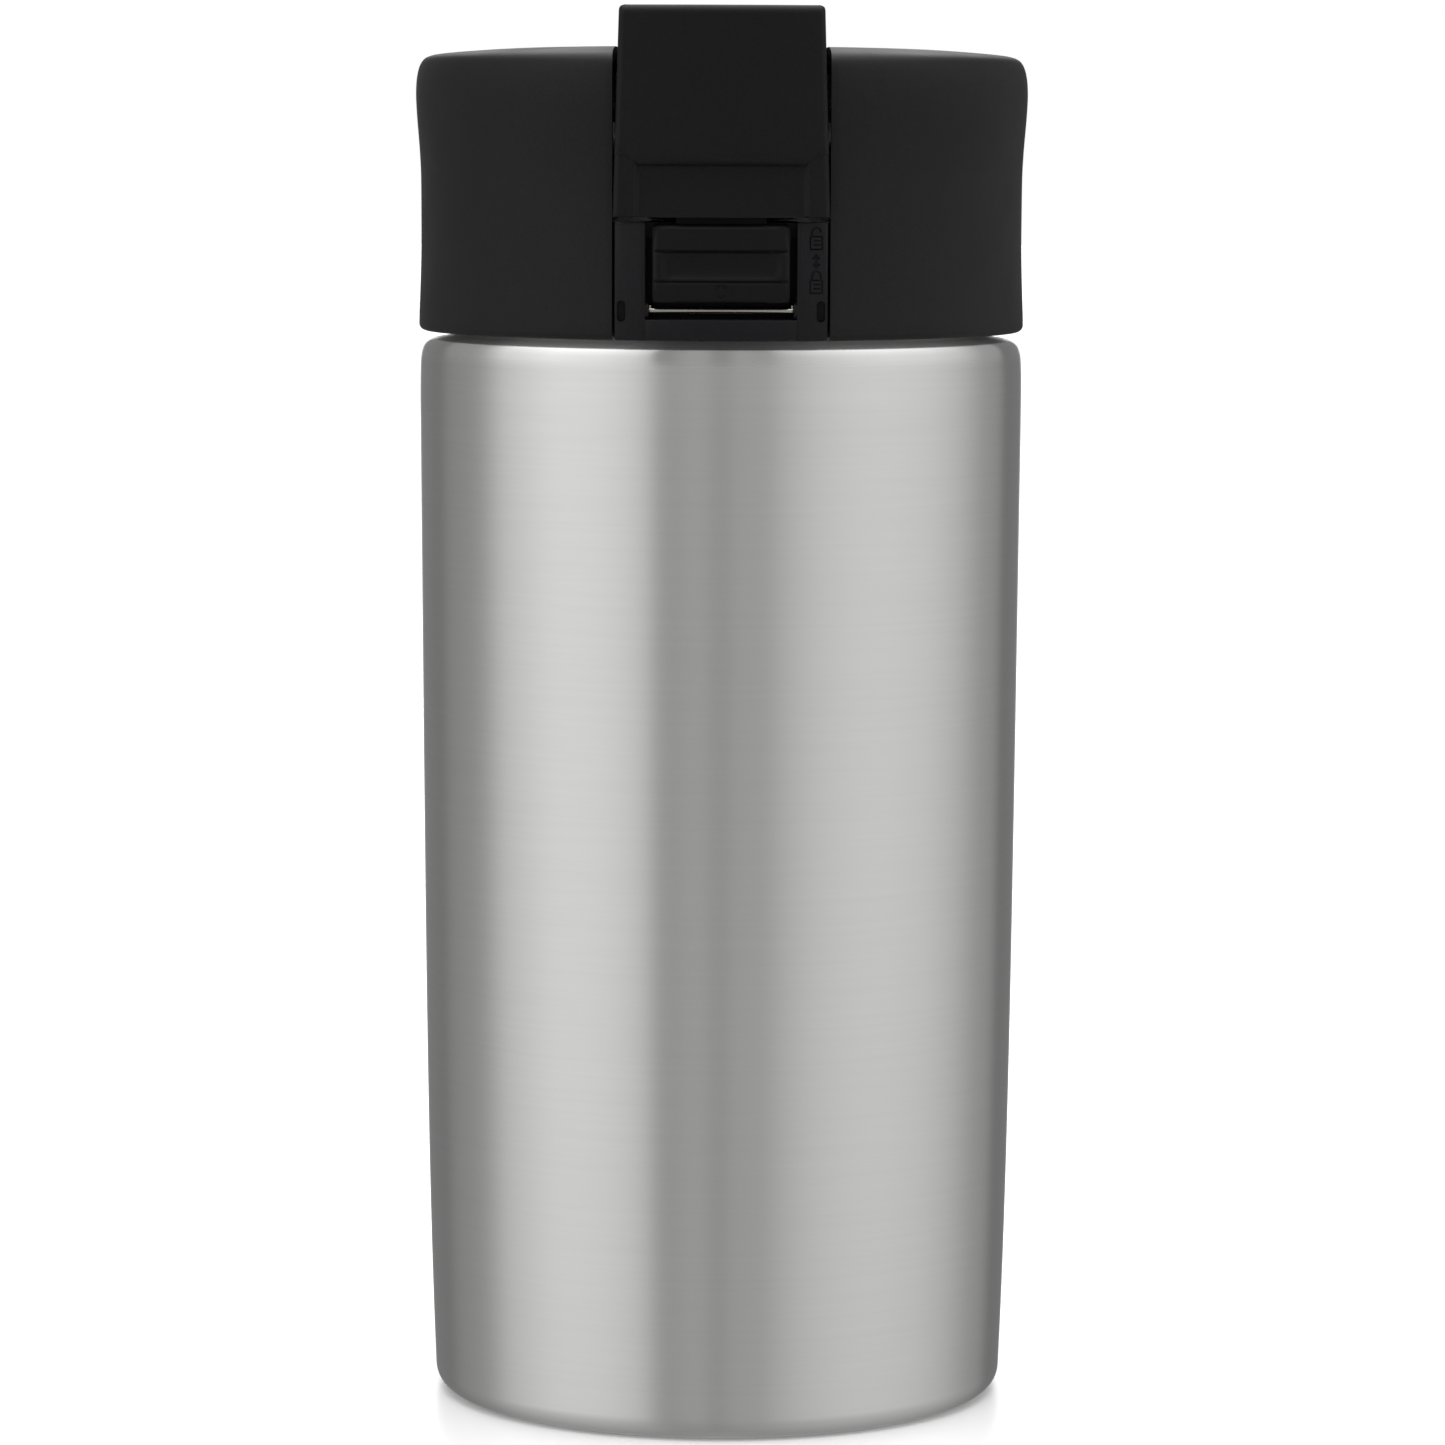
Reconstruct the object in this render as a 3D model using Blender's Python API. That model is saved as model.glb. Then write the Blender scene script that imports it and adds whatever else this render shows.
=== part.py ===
"""Insulated travel mug: double-wall steel flask, screw lid and latched flip cap.

Units: outlines are written in millimetres and scaled by MM, so the scene is in metres.
Frame: +Z up, origin at the middle of the base, the latch faces -Y, +X is to the right.
"""
from math import cos, pi, sin

import bmesh
import bpy
from mathutils import Matrix, Vector

MM = 0.001

# Turned parts
SEGMENTS = 40
PIN_SEGMENTS = 14

# Flask
FOOT_RADIUS = 33.0
FOOT_CORNER = 2.6
BODY_RADIUS = 34.73
BODY_TAPER = 0.95
FOOT_PINCH = 0.78
BODY_WIDEST_Z = 115.4
SHOULDER_Z = 122.1
NECK_RADIUS = 29.3
NECK_TOP_Z = 133.0
STEEL_WALL = 0.5
FLANGE_BORE = 28.0
LINER_RADIUS = 31.5
LINER_NECK_RADIUS = 28.3
LINER_FLOOR_Z = 6.6
LINER_CORNER = 8.0
LIP_RADIUS = 29.3
LIP_TOP_Z = 134.2

# Two-start right-hand thread: the lid lifts THREAD_LEAD for each turn
THREAD_LEAD = 8.0
THREAD_STARTS = 2
THREAD_WIDTH = 1.3
THREAD_SINK = 0.25
NECK_RIB_RADIUS = 30.2
SKIRT_BORE = 30.6
SKIRT_RIB_RADIUS = 29.7

# Lid
COLLAR_BOTTOM_Z = 123.45
COLLAR_BORE = 33.0
SLOT_HALF = 12.15
REAR_SLOT_Z = 145.2
SKIRT_RADIUS = 31.9
SKIRT_BOTTOM_Z = 123.75
LID_FLOOR_Z = 134.8
LID_FLOOR_TOP_Z = 136.4
LID_FLOOR_RADIUS = 32.5
PLUG_RADIUS = 25.3
PLUG_BORE = 24.0
PLUG_BOTTOM_Z = 128.0
PLUG_FLANGE_RADIUS = 27.2
TRAY_FLOOR_Z = 147.4
TRAY_TOP_Z = 149.0
TRAY_WALL_TOP_Z = 153.0
TRAY_HALF = 13.6
TRAY_INNER_HALF = 12.2
TRAY_REACH = 29.3
PASSAGE_HALF = 6.5
PASSAGE_FRONT_Y = -22.5
PASSAGE_BACK_Y = -17.5
VENT_Y = -10.0
VENT_BORE = 1.3

# Mouthpiece
MOUTH_TOP_Z = 153.5
MOUTH_HALF = 8.7
MOUTH_FRONT_Y = -31.3
MOUTH_BACK_Y = -16.3

# Flip cap
CAP_TOP_Z = 160.2
CAP_SLOPE = 0.04
CAP_HALF_TOP = 11.2
CAP_HALF_GROWTH = 0.029
CAP_WALL = 1.8
CAVITY_HALF = 9.4
TONGUE_BOTTOM_Z = 137.0
TONGUE_INNER_Y = -33.9
CAP_FRONT_Y = -36.2
CAP_EDGE_Z = 149.9
HINGE_Y = 32.0
HINGE_Z = 150.0
HINGE_PIN_RADIUS = 1.0
HINGE_BORE = 1.3
EAR_RADIUS = 4.2
LUG_RADIUS = 3.6
LUG_HALF = 8.4

# Latch
LATCH_Y = -32.75
LATCH_Z = 126.75
LATCH_PIN_RADIUS = 0.6
LATCH_BORE = 0.85
FRAME_HALF = 11.8
FRAME_BOTTOM_Z = 123.5
FRAME_TOP_Z = 136.5
FRAME_FRONT_Y = -34.95
FRAME_FRONT_RADIUS = 34.2
FRAME_BACK_RADIUS = 32.85
WINDOW_HALF = 8.3
WINDOW_BOTTOM_Z = 125.8
THUMB_HALF = 7.55
THUMB_BOTTOM_Z = 127.7
THUMB_TOP_Z = 136.1
THUMB_BACK_Y = -33.9
THUMB_FRONT_Y = -34.75
THUMB_SIDE_Y = -34.2

STEEL = ("brushed_steel", (0.60, 0.60, 0.59), 0.32, 1.0)
INNER_STEEL = ("inner_steel", (0.66, 0.65, 0.63), 0.24, 1.0)
BRIGHT_STEEL = ("bright_steel", (0.72, 0.72, 0.72), 0.15, 1.0)
SPRING_STEEL = ("spring_steel", (0.62, 0.62, 0.62), 0.22, 1.0)
GETTER_METAL = ("getter_metal", (0.35, 0.34, 0.33), 0.6, 1.0)
BLACK_PLASTIC = ("black_plastic", (0.019, 0.018, 0.018), 0.48, 0.0)
DARK_PLASTIC = ("dark_plastic", (0.028, 0.028, 0.030), 0.42, 0.0)
SILICONE = ("silicone", (0.32, 0.33, 0.34), 0.55, 0.0)


def clear_scene():
    """Remove every object, so that the script gives the same model each run."""
    for existing in list(bpy.data.objects):
        bpy.data.objects.remove(existing, do_unlink=True)


def material(spec):
    """Return the Principled material for (name, colour, roughness, metallic)."""
    name, colour, roughness, metallic = spec
    found = bpy.data.materials.get(name)
    if found:
        return found
    made = bpy.data.materials.new(name)
    made.use_nodes = True
    shader = made.node_tree.nodes["Principled BSDF"]
    shader.inputs["Base Color"].default_value = (*colour, 1.0)
    shader.inputs["Roughness"].default_value = roughness
    shader.inputs["Metallic"].default_value = metallic
    return made


def finish_mesh(name, shape, spec=None, smooth=False):
    """Turn a bmesh written in millimetres into a linked object in metres."""
    bmesh.ops.scale(shape, vec=(MM, MM, MM), verts=shape.verts)
    bmesh.ops.recalc_face_normals(shape, faces=shape.faces)
    mesh = bpy.data.meshes.new(name)
    shape.to_mesh(mesh)
    shape.free()
    made = bpy.data.objects.new(name, mesh)
    bpy.context.scene.collection.objects.link(made)
    if spec:
        mesh.materials.append(material(spec))
    if smooth:
        mesh.shade_smooth()
        mesh.set_sharp_from_angle(angle=0.6)
    return made


def arc(centre, radius, start, end, steps):
    """Return points on an arc, from the start angle to the end angle in degrees."""
    points = []
    for step in range(steps + 1):
        angle = (start + (end - start) * step / steps) * pi / 180.0
        points.append((centre[0] + radius * cos(angle), centre[1] + radius * sin(angle)))
    return points


def turned(name, outline, spec=None, at=(0.0, 0.0), segments=SEGMENTS):
    """Turn a closed outline of (radius, height) about the vertical axis through at."""
    shape = bmesh.new()
    rings = []
    for radius, height in outline:
        if radius == 0.0:
            pole = shape.verts.new((at[0], at[1], height))
            rings.append([pole] * segments)
            continue
        ring = []
        for step in range(segments):
            angle = 2.0 * pi * step / segments
            x = at[0] + radius * cos(angle)
            y = at[1] + radius * sin(angle)
            ring.append(shape.verts.new((x, y, height)))
        rings.append(ring)
    for here, there in zip(rings, rings[1:] + rings[:1]):
        if here[0] is here[1] and there[0] is there[1]:
            continue
        for step in range(segments):
            after = (step + 1) % segments
            corners = [here[step], here[after], there[after], there[step]]
            face = [c for i, c in enumerate(corners) if c is not corners[i - 1]]
            shape.faces.new(face)
    return finish_mesh(name, shape, spec, smooth=True)


def box(name, low, high, spec=None, bevel=0.0):
    """Make a box between two corners, with its edges rounded by bevel."""
    shape = bmesh.new()
    size = Vector(high) - Vector(low)
    middle = (Vector(high) + Vector(low)) / 2.0
    place = Matrix.Translation(middle) @ Matrix.Diagonal((*size, 1.0))
    bmesh.ops.create_cube(shape, size=1.0, matrix=place)
    if bevel:
        edges = list(shape.edges)
        bmesh.ops.bevel(shape, geom=edges, offset=bevel, segments=1, affect="EDGES")
    return finish_mesh(name, shape, spec)


def extruded(name, outline, start, end, axis, spec=None):
    """Extrude a closed outline from start to end along X (points are y, z) or Z (x, y)."""
    shape = bmesh.new()
    if axis == "X":
        base = [shape.verts.new((start, a, b)) for a, b in outline]
        step = (end - start, 0.0, 0.0)
    else:
        base = [shape.verts.new((a, b, start)) for a, b in outline]
        step = (0.0, 0.0, end - start)
    cap = shape.faces.new(base)
    grown = bmesh.ops.extrude_face_region(shape, geom=[cap])["geom"]
    moved = [item for item in grown if isinstance(item, bmesh.types.BMVert)]
    bmesh.ops.translate(shape, vec=step, verts=moved)
    return finish_mesh(name, shape, spec)


def crossbar(name, radius, half, centre, spec=None, segments=PIN_SEGMENTS):
    """Make a cylinder along X, centred on x = 0 at the centre (y, z)."""
    outline = [(centre[0] + y, centre[1] + z) for y, z in arc((0, 0), radius, 0, 360, segments)[:-1]]
    return extruded(name, outline, -half, half, "X", spec)


def guide(tool):
    """Mark an object as a tool: it shapes another piece and isn't a piece itself."""
    tool.hide_render = True
    tool.display_type = "WIRE"
    return tool


def combine(piece, tools, operation):
    """Add one exact Boolean to the piece for each tool."""
    for tool in tools:
        guide(tool)
        modifier = piece.modifiers.new(f"{operation.lower()}_{tool.name}", "BOOLEAN")
        modifier.operation = operation
        modifier.solver = "EXACT"
        modifier.object = tool
    return piece


def joint_axis(name, at):
    """Add an empty on a joint's axis; the joint's moving pieces hang from it."""
    empty = bpy.data.objects.new(name, None)
    empty.location = Vector(at) * MM
    empty.empty_display_size = 5.0 * MM
    bpy.context.scene.collection.objects.link(empty)
    return empty


def hang(pieces, empty):
    """Parent the pieces to a joint's empty without moving them."""
    for piece in pieces:
        piece.parent = empty
        piece.matrix_parent_inverse = Matrix.Translation(-empty.location)


def thread_rib(name, root, tip, start_turn, low_z, high_z, offset_z):
    """Make one helical rib of the thread, from low_z to high_z, rooted in a wall."""
    shape = bmesh.new()
    per_turn = SEGMENTS
    half = THREAD_WIDTH / 2.0
    first = int((low_z - offset_z) / THREAD_LEAD * per_turn)
    last = int((high_z - offset_z) / THREAD_LEAD * per_turn)
    sections = []
    for step in range(first, last + 1):
        turn = (step + 0.5) / per_turn
        angle = 2.0 * pi * (turn + start_turn)
        z = offset_z + THREAD_LEAD * turn
        corners = []
        for radius, lift in ((root, -half), (tip, -half * 0.5), (tip, half * 0.5), (root, half)):
            corners.append(shape.verts.new((radius * cos(angle), radius * sin(angle), z + lift)))
        sections.append(corners)
    for here, there in zip(sections, sections[1:]):
        for side in range(4):
            after = (side + 1) % 4
            shape.faces.new((here[side], here[after], there[after], there[side]))
    shape.faces.new(sections[0][::-1])
    shape.faces.new(sections[-1])
    return finish_mesh(name, shape)


def body_radius(z):
    """Outer radius of the steel wall: a slight straight taper and a pinch at the foot."""
    down = (BODY_WIDEST_Z - z) / (BODY_WIDEST_Z - FOOT_CORNER)
    return BODY_RADIUS - BODY_TAPER * down - FOOT_PINCH * down ** 5


def coil(name, wire, spec, points):
    """Make a round wire through the points, with closed ends."""
    curve = bpy.data.curves.new(name, "CURVE")
    curve.dimensions = "3D"
    curve.bevel_depth = wire * MM
    curve.bevel_resolution = 1
    curve.use_fill_caps = True
    spline = curve.splines.new("POLY")
    spline.points.add(len(points) - 1)
    for target, point in zip(spline.points, points):
        target.co = (*(Vector(point) * MM), 1.0)
    curve.materials.append(material(spec))
    made = bpy.data.objects.new(name, curve)
    bpy.context.scene.collection.objects.link(made)
    return made


# ---------------------------------------------------------------- flask

def make_outer_shell():
    """Outer wall: rolled-in foot, tapered body, shoulder and threaded neck."""
    heights = [15.0, 30.0, 50.0, 75.0, 98.0, BODY_WIDEST_Z]
    outer = [(FLANGE_BORE, 0.0)]
    outer += arc((FOOT_RADIUS - FOOT_CORNER, FOOT_CORNER), FOOT_CORNER, -90, 0, 4)
    outer += [(body_radius(z), z) for z in heights]
    outer += [(34.60, 119.0), (34.30, 121.0), (33.60, 121.85), (32.4, SHOULDER_Z)]
    outer += [(30.1, SHOULDER_Z), (NECK_RADIUS, SHOULDER_Z + 0.8), (NECK_RADIUS, NECK_TOP_Z)]
    inner = [(NECK_RADIUS - STEEL_WALL, NECK_TOP_Z), (NECK_RADIUS - STEEL_WALL, SHOULDER_Z + 0.4)]
    inner += [(29.7, SHOULDER_Z - STEEL_WALL), (33.0, 121.2), (34.0, 119.0)]
    inner += [(body_radius(z) - STEEL_WALL, z) for z in reversed(heights)]
    inner += [(FOOT_RADIUS - STEEL_WALL, FOOT_CORNER)]
    inner += [(FOOT_RADIUS - FOOT_CORNER, STEEL_WALL), (FLANGE_BORE, STEEL_WALL)]
    shell = turned("outer_shell", outer + inner, STEEL)
    ribs = []
    for start in range(THREAD_STARTS):
        ribs.append(thread_rib(f"neck_rib_{start}", NECK_RADIUS - THREAD_SINK, NECK_RIB_RADIUS,
                               start / THREAD_STARTS, 124.8, 130.6, 124.8))
    return combine(shell, ribs, "UNION")


def make_inner_liner():
    """Inner cup with a rounded floor, a drawn-in neck and the lip that closes the wall."""
    low = LINER_FLOOR_Z + LINER_CORNER
    inside = LINER_RADIUS - STEEL_WALL
    neck_inside = LINER_NECK_RADIUS - STEEL_WALL
    corner = inside - LINER_CORNER
    cup = [(0.0, LINER_FLOOR_Z + STEEL_WALL)]
    cup += arc((corner, low + STEEL_WALL), LINER_CORNER, -90, 0, 5)
    cup += [(inside, 113.0), (30.2, 117.5), (neck_inside, 121.0), (neck_inside, LIP_TOP_Z - 0.3)]
    cup += [(neck_inside + 0.4, LIP_TOP_Z), (LIP_RADIUS - 0.3, LIP_TOP_Z), (LIP_RADIUS, LIP_TOP_Z - 0.4)]
    cup += [(LIP_RADIUS, NECK_TOP_Z + 0.3), (LINER_NECK_RADIUS, NECK_TOP_Z + 0.3)]
    cup += [(LINER_NECK_RADIUS, 121.2), (30.75, 117.7), (LINER_RADIUS, 113.2)]
    cup += arc((corner, low), LINER_CORNER + STEEL_WALL, 0, -90, 5)[:-1]
    cup += [(corner, LINER_FLOOR_Z), (0.0, LINER_FLOOR_Z)]
    return turned("inner_liner", cup, INNER_STEEL)


def make_base():
    """Bottom disc with its dimple, the pump-out bead under it and the getter above."""
    disc = [(0.0, 2.0), (6.5, 2.0), (7.5, 0.9), (27.6, 0.9), (27.6, 1.6), (7.9, 1.6)]
    disc += [(6.8, 2.7), (0.0, 2.7)]
    bead = [(0.0, 0.7), (1.6, 0.8), (2.8, 1.3), (2.8, 1.7), (0.0, 1.7)]
    pill = [(0.0, 3.2), (3.2, 3.2), (3.5, 3.5), (3.5, 5.8), (3.2, 6.1), (0.0, 6.1)]
    base = turned("base_plate", disc, STEEL)
    seal = turned("vacuum_seal", bead, BRIGHT_STEEL, segments=16)
    getter = turned("getter", pill, GETTER_METAL, at=(14.0, 0.0), segments=16)
    return [base, seal, getter]


# ---------------------------------------------------------------- lid

def make_gasket():
    """Silicone ring on the plug, with a rounded sealing lip."""
    ring = [(25.6, 129.1), (26.8, 129.1), (27.1, 130.0), (27.4, 130.6), (27.1, 131.2)]
    ring += [(26.8, 132.0), (25.6, 132.0)]
    return turned("lid_gasket", ring, SILICONE)


def make_collar():
    """Outer casing: slightly waisted wall, domed deck and the slot for the flip cap."""
    wall = [(34.1, COLLAR_BOTTOM_Z), (34.85, 124.2), (34.67, 129.6), (34.59, 135.0)]
    wall += [(34.65, 142.0), (35.0, 147.0), (35.19, 150.5), (35.02, 152.6)]
    wall += [(34.44, 154.3), (33.0, 155.0), (24.0, 155.7), (0.0, 156.0)]
    inner = [(0.0, 154.3), (24.0, 154.1), (32.2, 153.5), (33.3, 152.3), (33.4, 149.5)]
    inner += [(COLLAR_BORE, 143.0), (COLLAR_BORE, COLLAR_BOTTOM_Z)]
    collar = turned("lid_collar", wall + inner, BLACK_PLASTIC)
    front = box("collar_front_slot", (-SLOT_HALF, -45.0, 115.0), (SLOT_HALF, 0.0, 165.0))
    rear = box("collar_rear_slot", (-SLOT_HALF, -0.5, REAR_SLOT_Z), (SLOT_HALF, 45.0, 165.0))
    combine(collar, [front], "DIFFERENCE")
    return combine(collar, [rear], "DIFFERENCE")


def make_core():
    """Inner moulding: threaded skirt, floor, plug, cap channel and hinge lug."""
    body = [(SKIRT_BORE, SKIRT_BOTTOM_Z), (SKIRT_RADIUS, SKIRT_BOTTOM_Z)]
    body += [(SKIRT_RADIUS, LID_FLOOR_Z), (LID_FLOOR_RADIUS, LID_FLOOR_Z)]
    body += [(LID_FLOOR_RADIUS, LID_FLOOR_TOP_Z), (0.0, LID_FLOOR_TOP_Z), (0.0, LID_FLOOR_Z)]
    body += [(PLUG_BORE, LID_FLOOR_Z), (PLUG_BORE, PLUG_BOTTOM_Z)]
    body += [(PLUG_FLANGE_RADIUS, PLUG_BOTTOM_Z), (PLUG_FLANGE_RADIUS, PLUG_BOTTOM_Z + 0.8)]
    body += [(PLUG_RADIUS, PLUG_BOTTOM_Z + 0.8), (PLUG_RADIUS, LID_FLOOR_Z), (SKIRT_BORE, LID_FLOOR_Z)]
    core = turned("lid_core", body, DARK_PLASTIC)
    added = []
    for start in range(THREAD_STARTS):
        added.append(thread_rib(f"skirt_rib_{start}", SKIRT_BORE + THREAD_SINK, SKIRT_RIB_RADIUS,
                                start / THREAD_STARTS, 125.0, 131.2, 126.8))
    added.append(box("channel", (-TRAY_HALF, -TRAY_REACH, LID_FLOOR_TOP_Z - 0.4),
                     (TRAY_HALF, TRAY_REACH, TRAY_WALL_TOP_Z)))
    combine(core, added, "UNION")
    inner = TRAY_INNER_HALF
    hollows = [
        box("channel_hollow", (-inner, -31.0, TRAY_TOP_Z), (inner, 31.0, 160.0)),
        box("channel_room", (-inner, -31.0, LID_FLOOR_TOP_Z), (inner, 31.0, TRAY_FLOOR_Z)),
        box("channel_rear", (-inner, 27.0, LID_FLOOR_TOP_Z), (inner, 31.0, 160.0)),
        box("mouth_hole", (-MOUTH_HALF - 0.4, -31.0, 140.0),
            (MOUTH_HALF + 0.4, MOUTH_BACK_Y + 0.4, 160.0)),
    ]
    combine(core, hollows, "DIFFERENCE")
    chimney = box("chimney", (-7.7, -23.2, 129.7), (7.7, -16.4, LID_FLOOR_Z + 0.5))
    vent = turned("vent_tube", [(0.0, LID_FLOOR_Z + 0.5), (2.6, LID_FLOOR_Z + 0.5),
                                (2.6, TRAY_FLOOR_Z + 0.5), (0.0, TRAY_FLOOR_Z + 0.5)],
                  at=(0.0, VENT_Y), segments=16)
    low_vent = turned("low_vent_tube", [(0.0, 129.7), (2.6, 129.7), (2.6, LID_FLOOR_Z + 0.5),
                                        (0.0, LID_FLOOR_Z + 0.5)], at=(0.0, VENT_Y), segments=16)
    leg = box("hinge_leg", (-LUG_HALF, 27.5, LID_FLOOR_TOP_Z - 0.4), (LUG_HALF, 31.0, HINGE_Z))
    lug = crossbar("hinge_lug", LUG_RADIUS, LUG_HALF, (HINGE_Y, HINGE_Z), segments=20)
    combine(core, [chimney, vent, low_vent, leg, lug], "UNION")
    cuts = [
        box("passage", (-PASSAGE_HALF, PASSAGE_FRONT_Y, 125.0),
            (PASSAGE_HALF, PASSAGE_BACK_Y, 140.0)),
        turned("vent_bore", [(0.0, 125.0), (VENT_BORE, 125.0), (VENT_BORE, 152.0), (0.0, 152.0)],
               at=(0.0, VENT_Y), segments=16),
        crossbar("hinge_bore", HINGE_BORE, 20.0, (HINGE_Y, HINGE_Z)),
        crossbar("spring_room", LUG_RADIUS + 0.15, 3.0, (HINGE_Y, HINGE_Z), segments=20),
        box("spring_slot", (-3.0, 26.0, 146.3), (3.0, HINGE_Y, 160.0)),
        box("latch_room", (-9.6, -45.0, 120.0), (9.6, -31.1, 142.0)),
    ]
    return combine(core, cuts, "DIFFERENCE")


def make_lid_base():
    """Cover under the lid's insulation space, pierced for the drink and the air."""
    disc = [(0.0, 128.2), (23.2, 128.2), (23.6, 128.6), (23.6, 129.4), (0.0, 129.4)]
    cover = turned("lid_base", disc, DARK_PLASTIC)
    holes = [
        box("base_passage", (-PASSAGE_HALF, PASSAGE_FRONT_Y, 125.0),
            (PASSAGE_HALF, PASSAGE_BACK_Y, 131.0)),
        turned("base_vent", [(0.0, 125.0), (VENT_BORE, 125.0), (VENT_BORE, 131.0), (0.0, 131.0)],
               at=(0.0, VENT_Y), segments=16),
    ]
    return combine(cover, holes, "DIFFERENCE")


def make_mouthpiece():
    """Drinking spout: it leans forward over the latch spring and opens upwards."""
    side = [(-26.2, 136.7), (MOUTH_BACK_Y, 136.7), (MOUTH_BACK_Y, MOUTH_TOP_Z - 0.6)]
    side += [(MOUTH_BACK_Y - 0.6, MOUTH_TOP_Z), (MOUTH_FRONT_Y + 0.6, MOUTH_TOP_Z)]
    side += [(MOUTH_FRONT_Y, MOUTH_TOP_Z - 0.6), (MOUTH_FRONT_Y, 145.6), (-26.2, 142.6)]
    spout = extruded("mouthpiece", side, -MOUTH_HALF, MOUTH_HALF, "X", DARK_PLASTIC)
    cuts = [
        box("spout_bore", (-PASSAGE_HALF, PASSAGE_FRONT_Y, 130.0),
            (PASSAGE_HALF, PASSAGE_BACK_Y, 148.0)),
        box("spout_mouth", (-7.2, -29.8, 147.0), (7.2, -17.5, 160.0)),
    ]
    return combine(spout, cuts, "DIFFERENCE")


def front_arc(half, middle_y, radius, steps):
    """Return (x, y) points along the outward-bulging front of a moulding."""
    points = []
    for step in range(steps + 1):
        x = -half + 2.0 * half * step / steps
        points.append((x, middle_y + radius - (radius * radius - x * x) ** 0.5))
    return points


def make_latch_frame():
    """Frame around the thumb piece: two cheeks and a sill that hold the latch pin."""
    outline = front_arc(FRAME_HALF, FRAME_FRONT_Y, FRAME_FRONT_RADIUS, 10)
    outline += front_arc(FRAME_HALF, -FRAME_BACK_RADIUS, FRAME_BACK_RADIUS, 10)[::-1]
    frame = extruded("latch_frame", outline, FRAME_BOTTOM_Z, FRAME_TOP_Z, "Z", BLACK_PLASTIC)
    cuts = [
        box("frame_window", (-WINDOW_HALF, -45.0, WINDOW_BOTTOM_Z), (WINDOW_HALF, -20.0, 145.0)),
        crossbar("frame_bore", LATCH_BORE, 9.05, (LATCH_Y, LATCH_Z)),
    ]
    for side in (-1.0, 1.0):
        low = (side * 10.95 - 0.5, -45.0, 125.5)
        high = (side * 10.95 + 0.5, -32.6, 127.9)
        cuts.append(box(f"frame_slot_{'left' if side < 0 else 'right'}", low, high))
    return combine(frame, cuts, "DIFFERENCE")


def make_pins():
    """Steel pins of the latch and of the cap's hinge."""
    latch_pin = crossbar("latch_pin", LATCH_PIN_RADIUS, 8.8, (LATCH_Y, LATCH_Z), BRIGHT_STEEL)
    hinge_pin = crossbar("hinge_pin", HINGE_PIN_RADIUS, 11.2, (HINGE_Y, HINGE_Z), BRIGHT_STEEL)
    return [latch_pin, hinge_pin]


# ---------------------------------------------------------------- latch

def make_rocker():
    """Lever on the latch pin: plate behind the thumb piece, foot, arm and nose."""
    side = [(-33.6, THUMB_BOTTOM_Z), (-32.6, THUMB_BOTTOM_Z), (-31.85, THUMB_BOTTOM_Z)]
    side += [(-31.85, 126.0), (-31.45, 126.0), (-31.45, 128.3), (-32.6, 128.3), (-32.6, 134.6)]
    side += [(-32.2, 135.2), (-32.2, 140.4), (-32.6, 140.8), (-33.3, 139.9), (-33.3, 139.5)]
    side += [(-33.0, 139.2), (-33.0, 136.3), (-33.6, 135.9)]
    rocker = extruded("latch_rocker", side, -THUMB_HALF, THUMB_HALF, "X", DARK_PLASTIC)
    cuts = [
        box("rocker_window", (-2.8, -40.0, 128.7), (2.8, -30.0, 132.8)),
        box("rocker_arm_left", (-12.0, -40.0, 136.3), (-5.0, -30.0, 145.0)),
        box("rocker_arm_right", (5.0, -40.0, 136.3), (12.0, -30.0, 145.0)),
    ]
    return combine(rocker, cuts, "DIFFERENCE")


def make_thumb_piece():
    """Ridged thumb piece with the key that slides in the rocker's window."""
    swell = THUMB_SIDE_Y - THUMB_FRONT_Y
    radius = (THUMB_HALF ** 2 + swell ** 2) / (2.0 * swell)
    outline = front_arc(THUMB_HALF, THUMB_FRONT_Y, radius, 8)
    outline += [(THUMB_HALF, THUMB_BACK_Y), (-THUMB_HALF, THUMB_BACK_Y)]
    thumb = extruded("lock_slider", outline, THUMB_BOTTOM_Z, THUMB_TOP_Z, "Z", BLACK_PLASTIC)
    key = box("slider_key", (-2.5, THUMB_BACK_Y - 0.3, 130.3), (2.5, -32.4, 132.5))
    return combine(thumb, [key], "UNION")


def make_latch_spring():
    """Return spring between the mouthpiece and the rocker's arm."""
    turns = 4.0
    per_turn = 8
    front = -31.6
    back = -26.8
    points = []
    for step in range(int(turns * per_turn) + 1):
        angle = 2.0 * pi * step / per_turn
        along = back + (front - back) * step / (turns * per_turn)
        points.append((1.5 * cos(angle), along, 138.9 + 1.5 * sin(angle)))
    return coil("latch_spring", 0.22, SPRING_STEEL, points)


# ---------------------------------------------------------------- flip cap

def cap_top(y):
    """Height of the cap's top, which falls slightly towards the hinge."""
    return CAP_TOP_Z - CAP_SLOPE * max(0.0, y - CAP_FRONT_Y)


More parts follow.
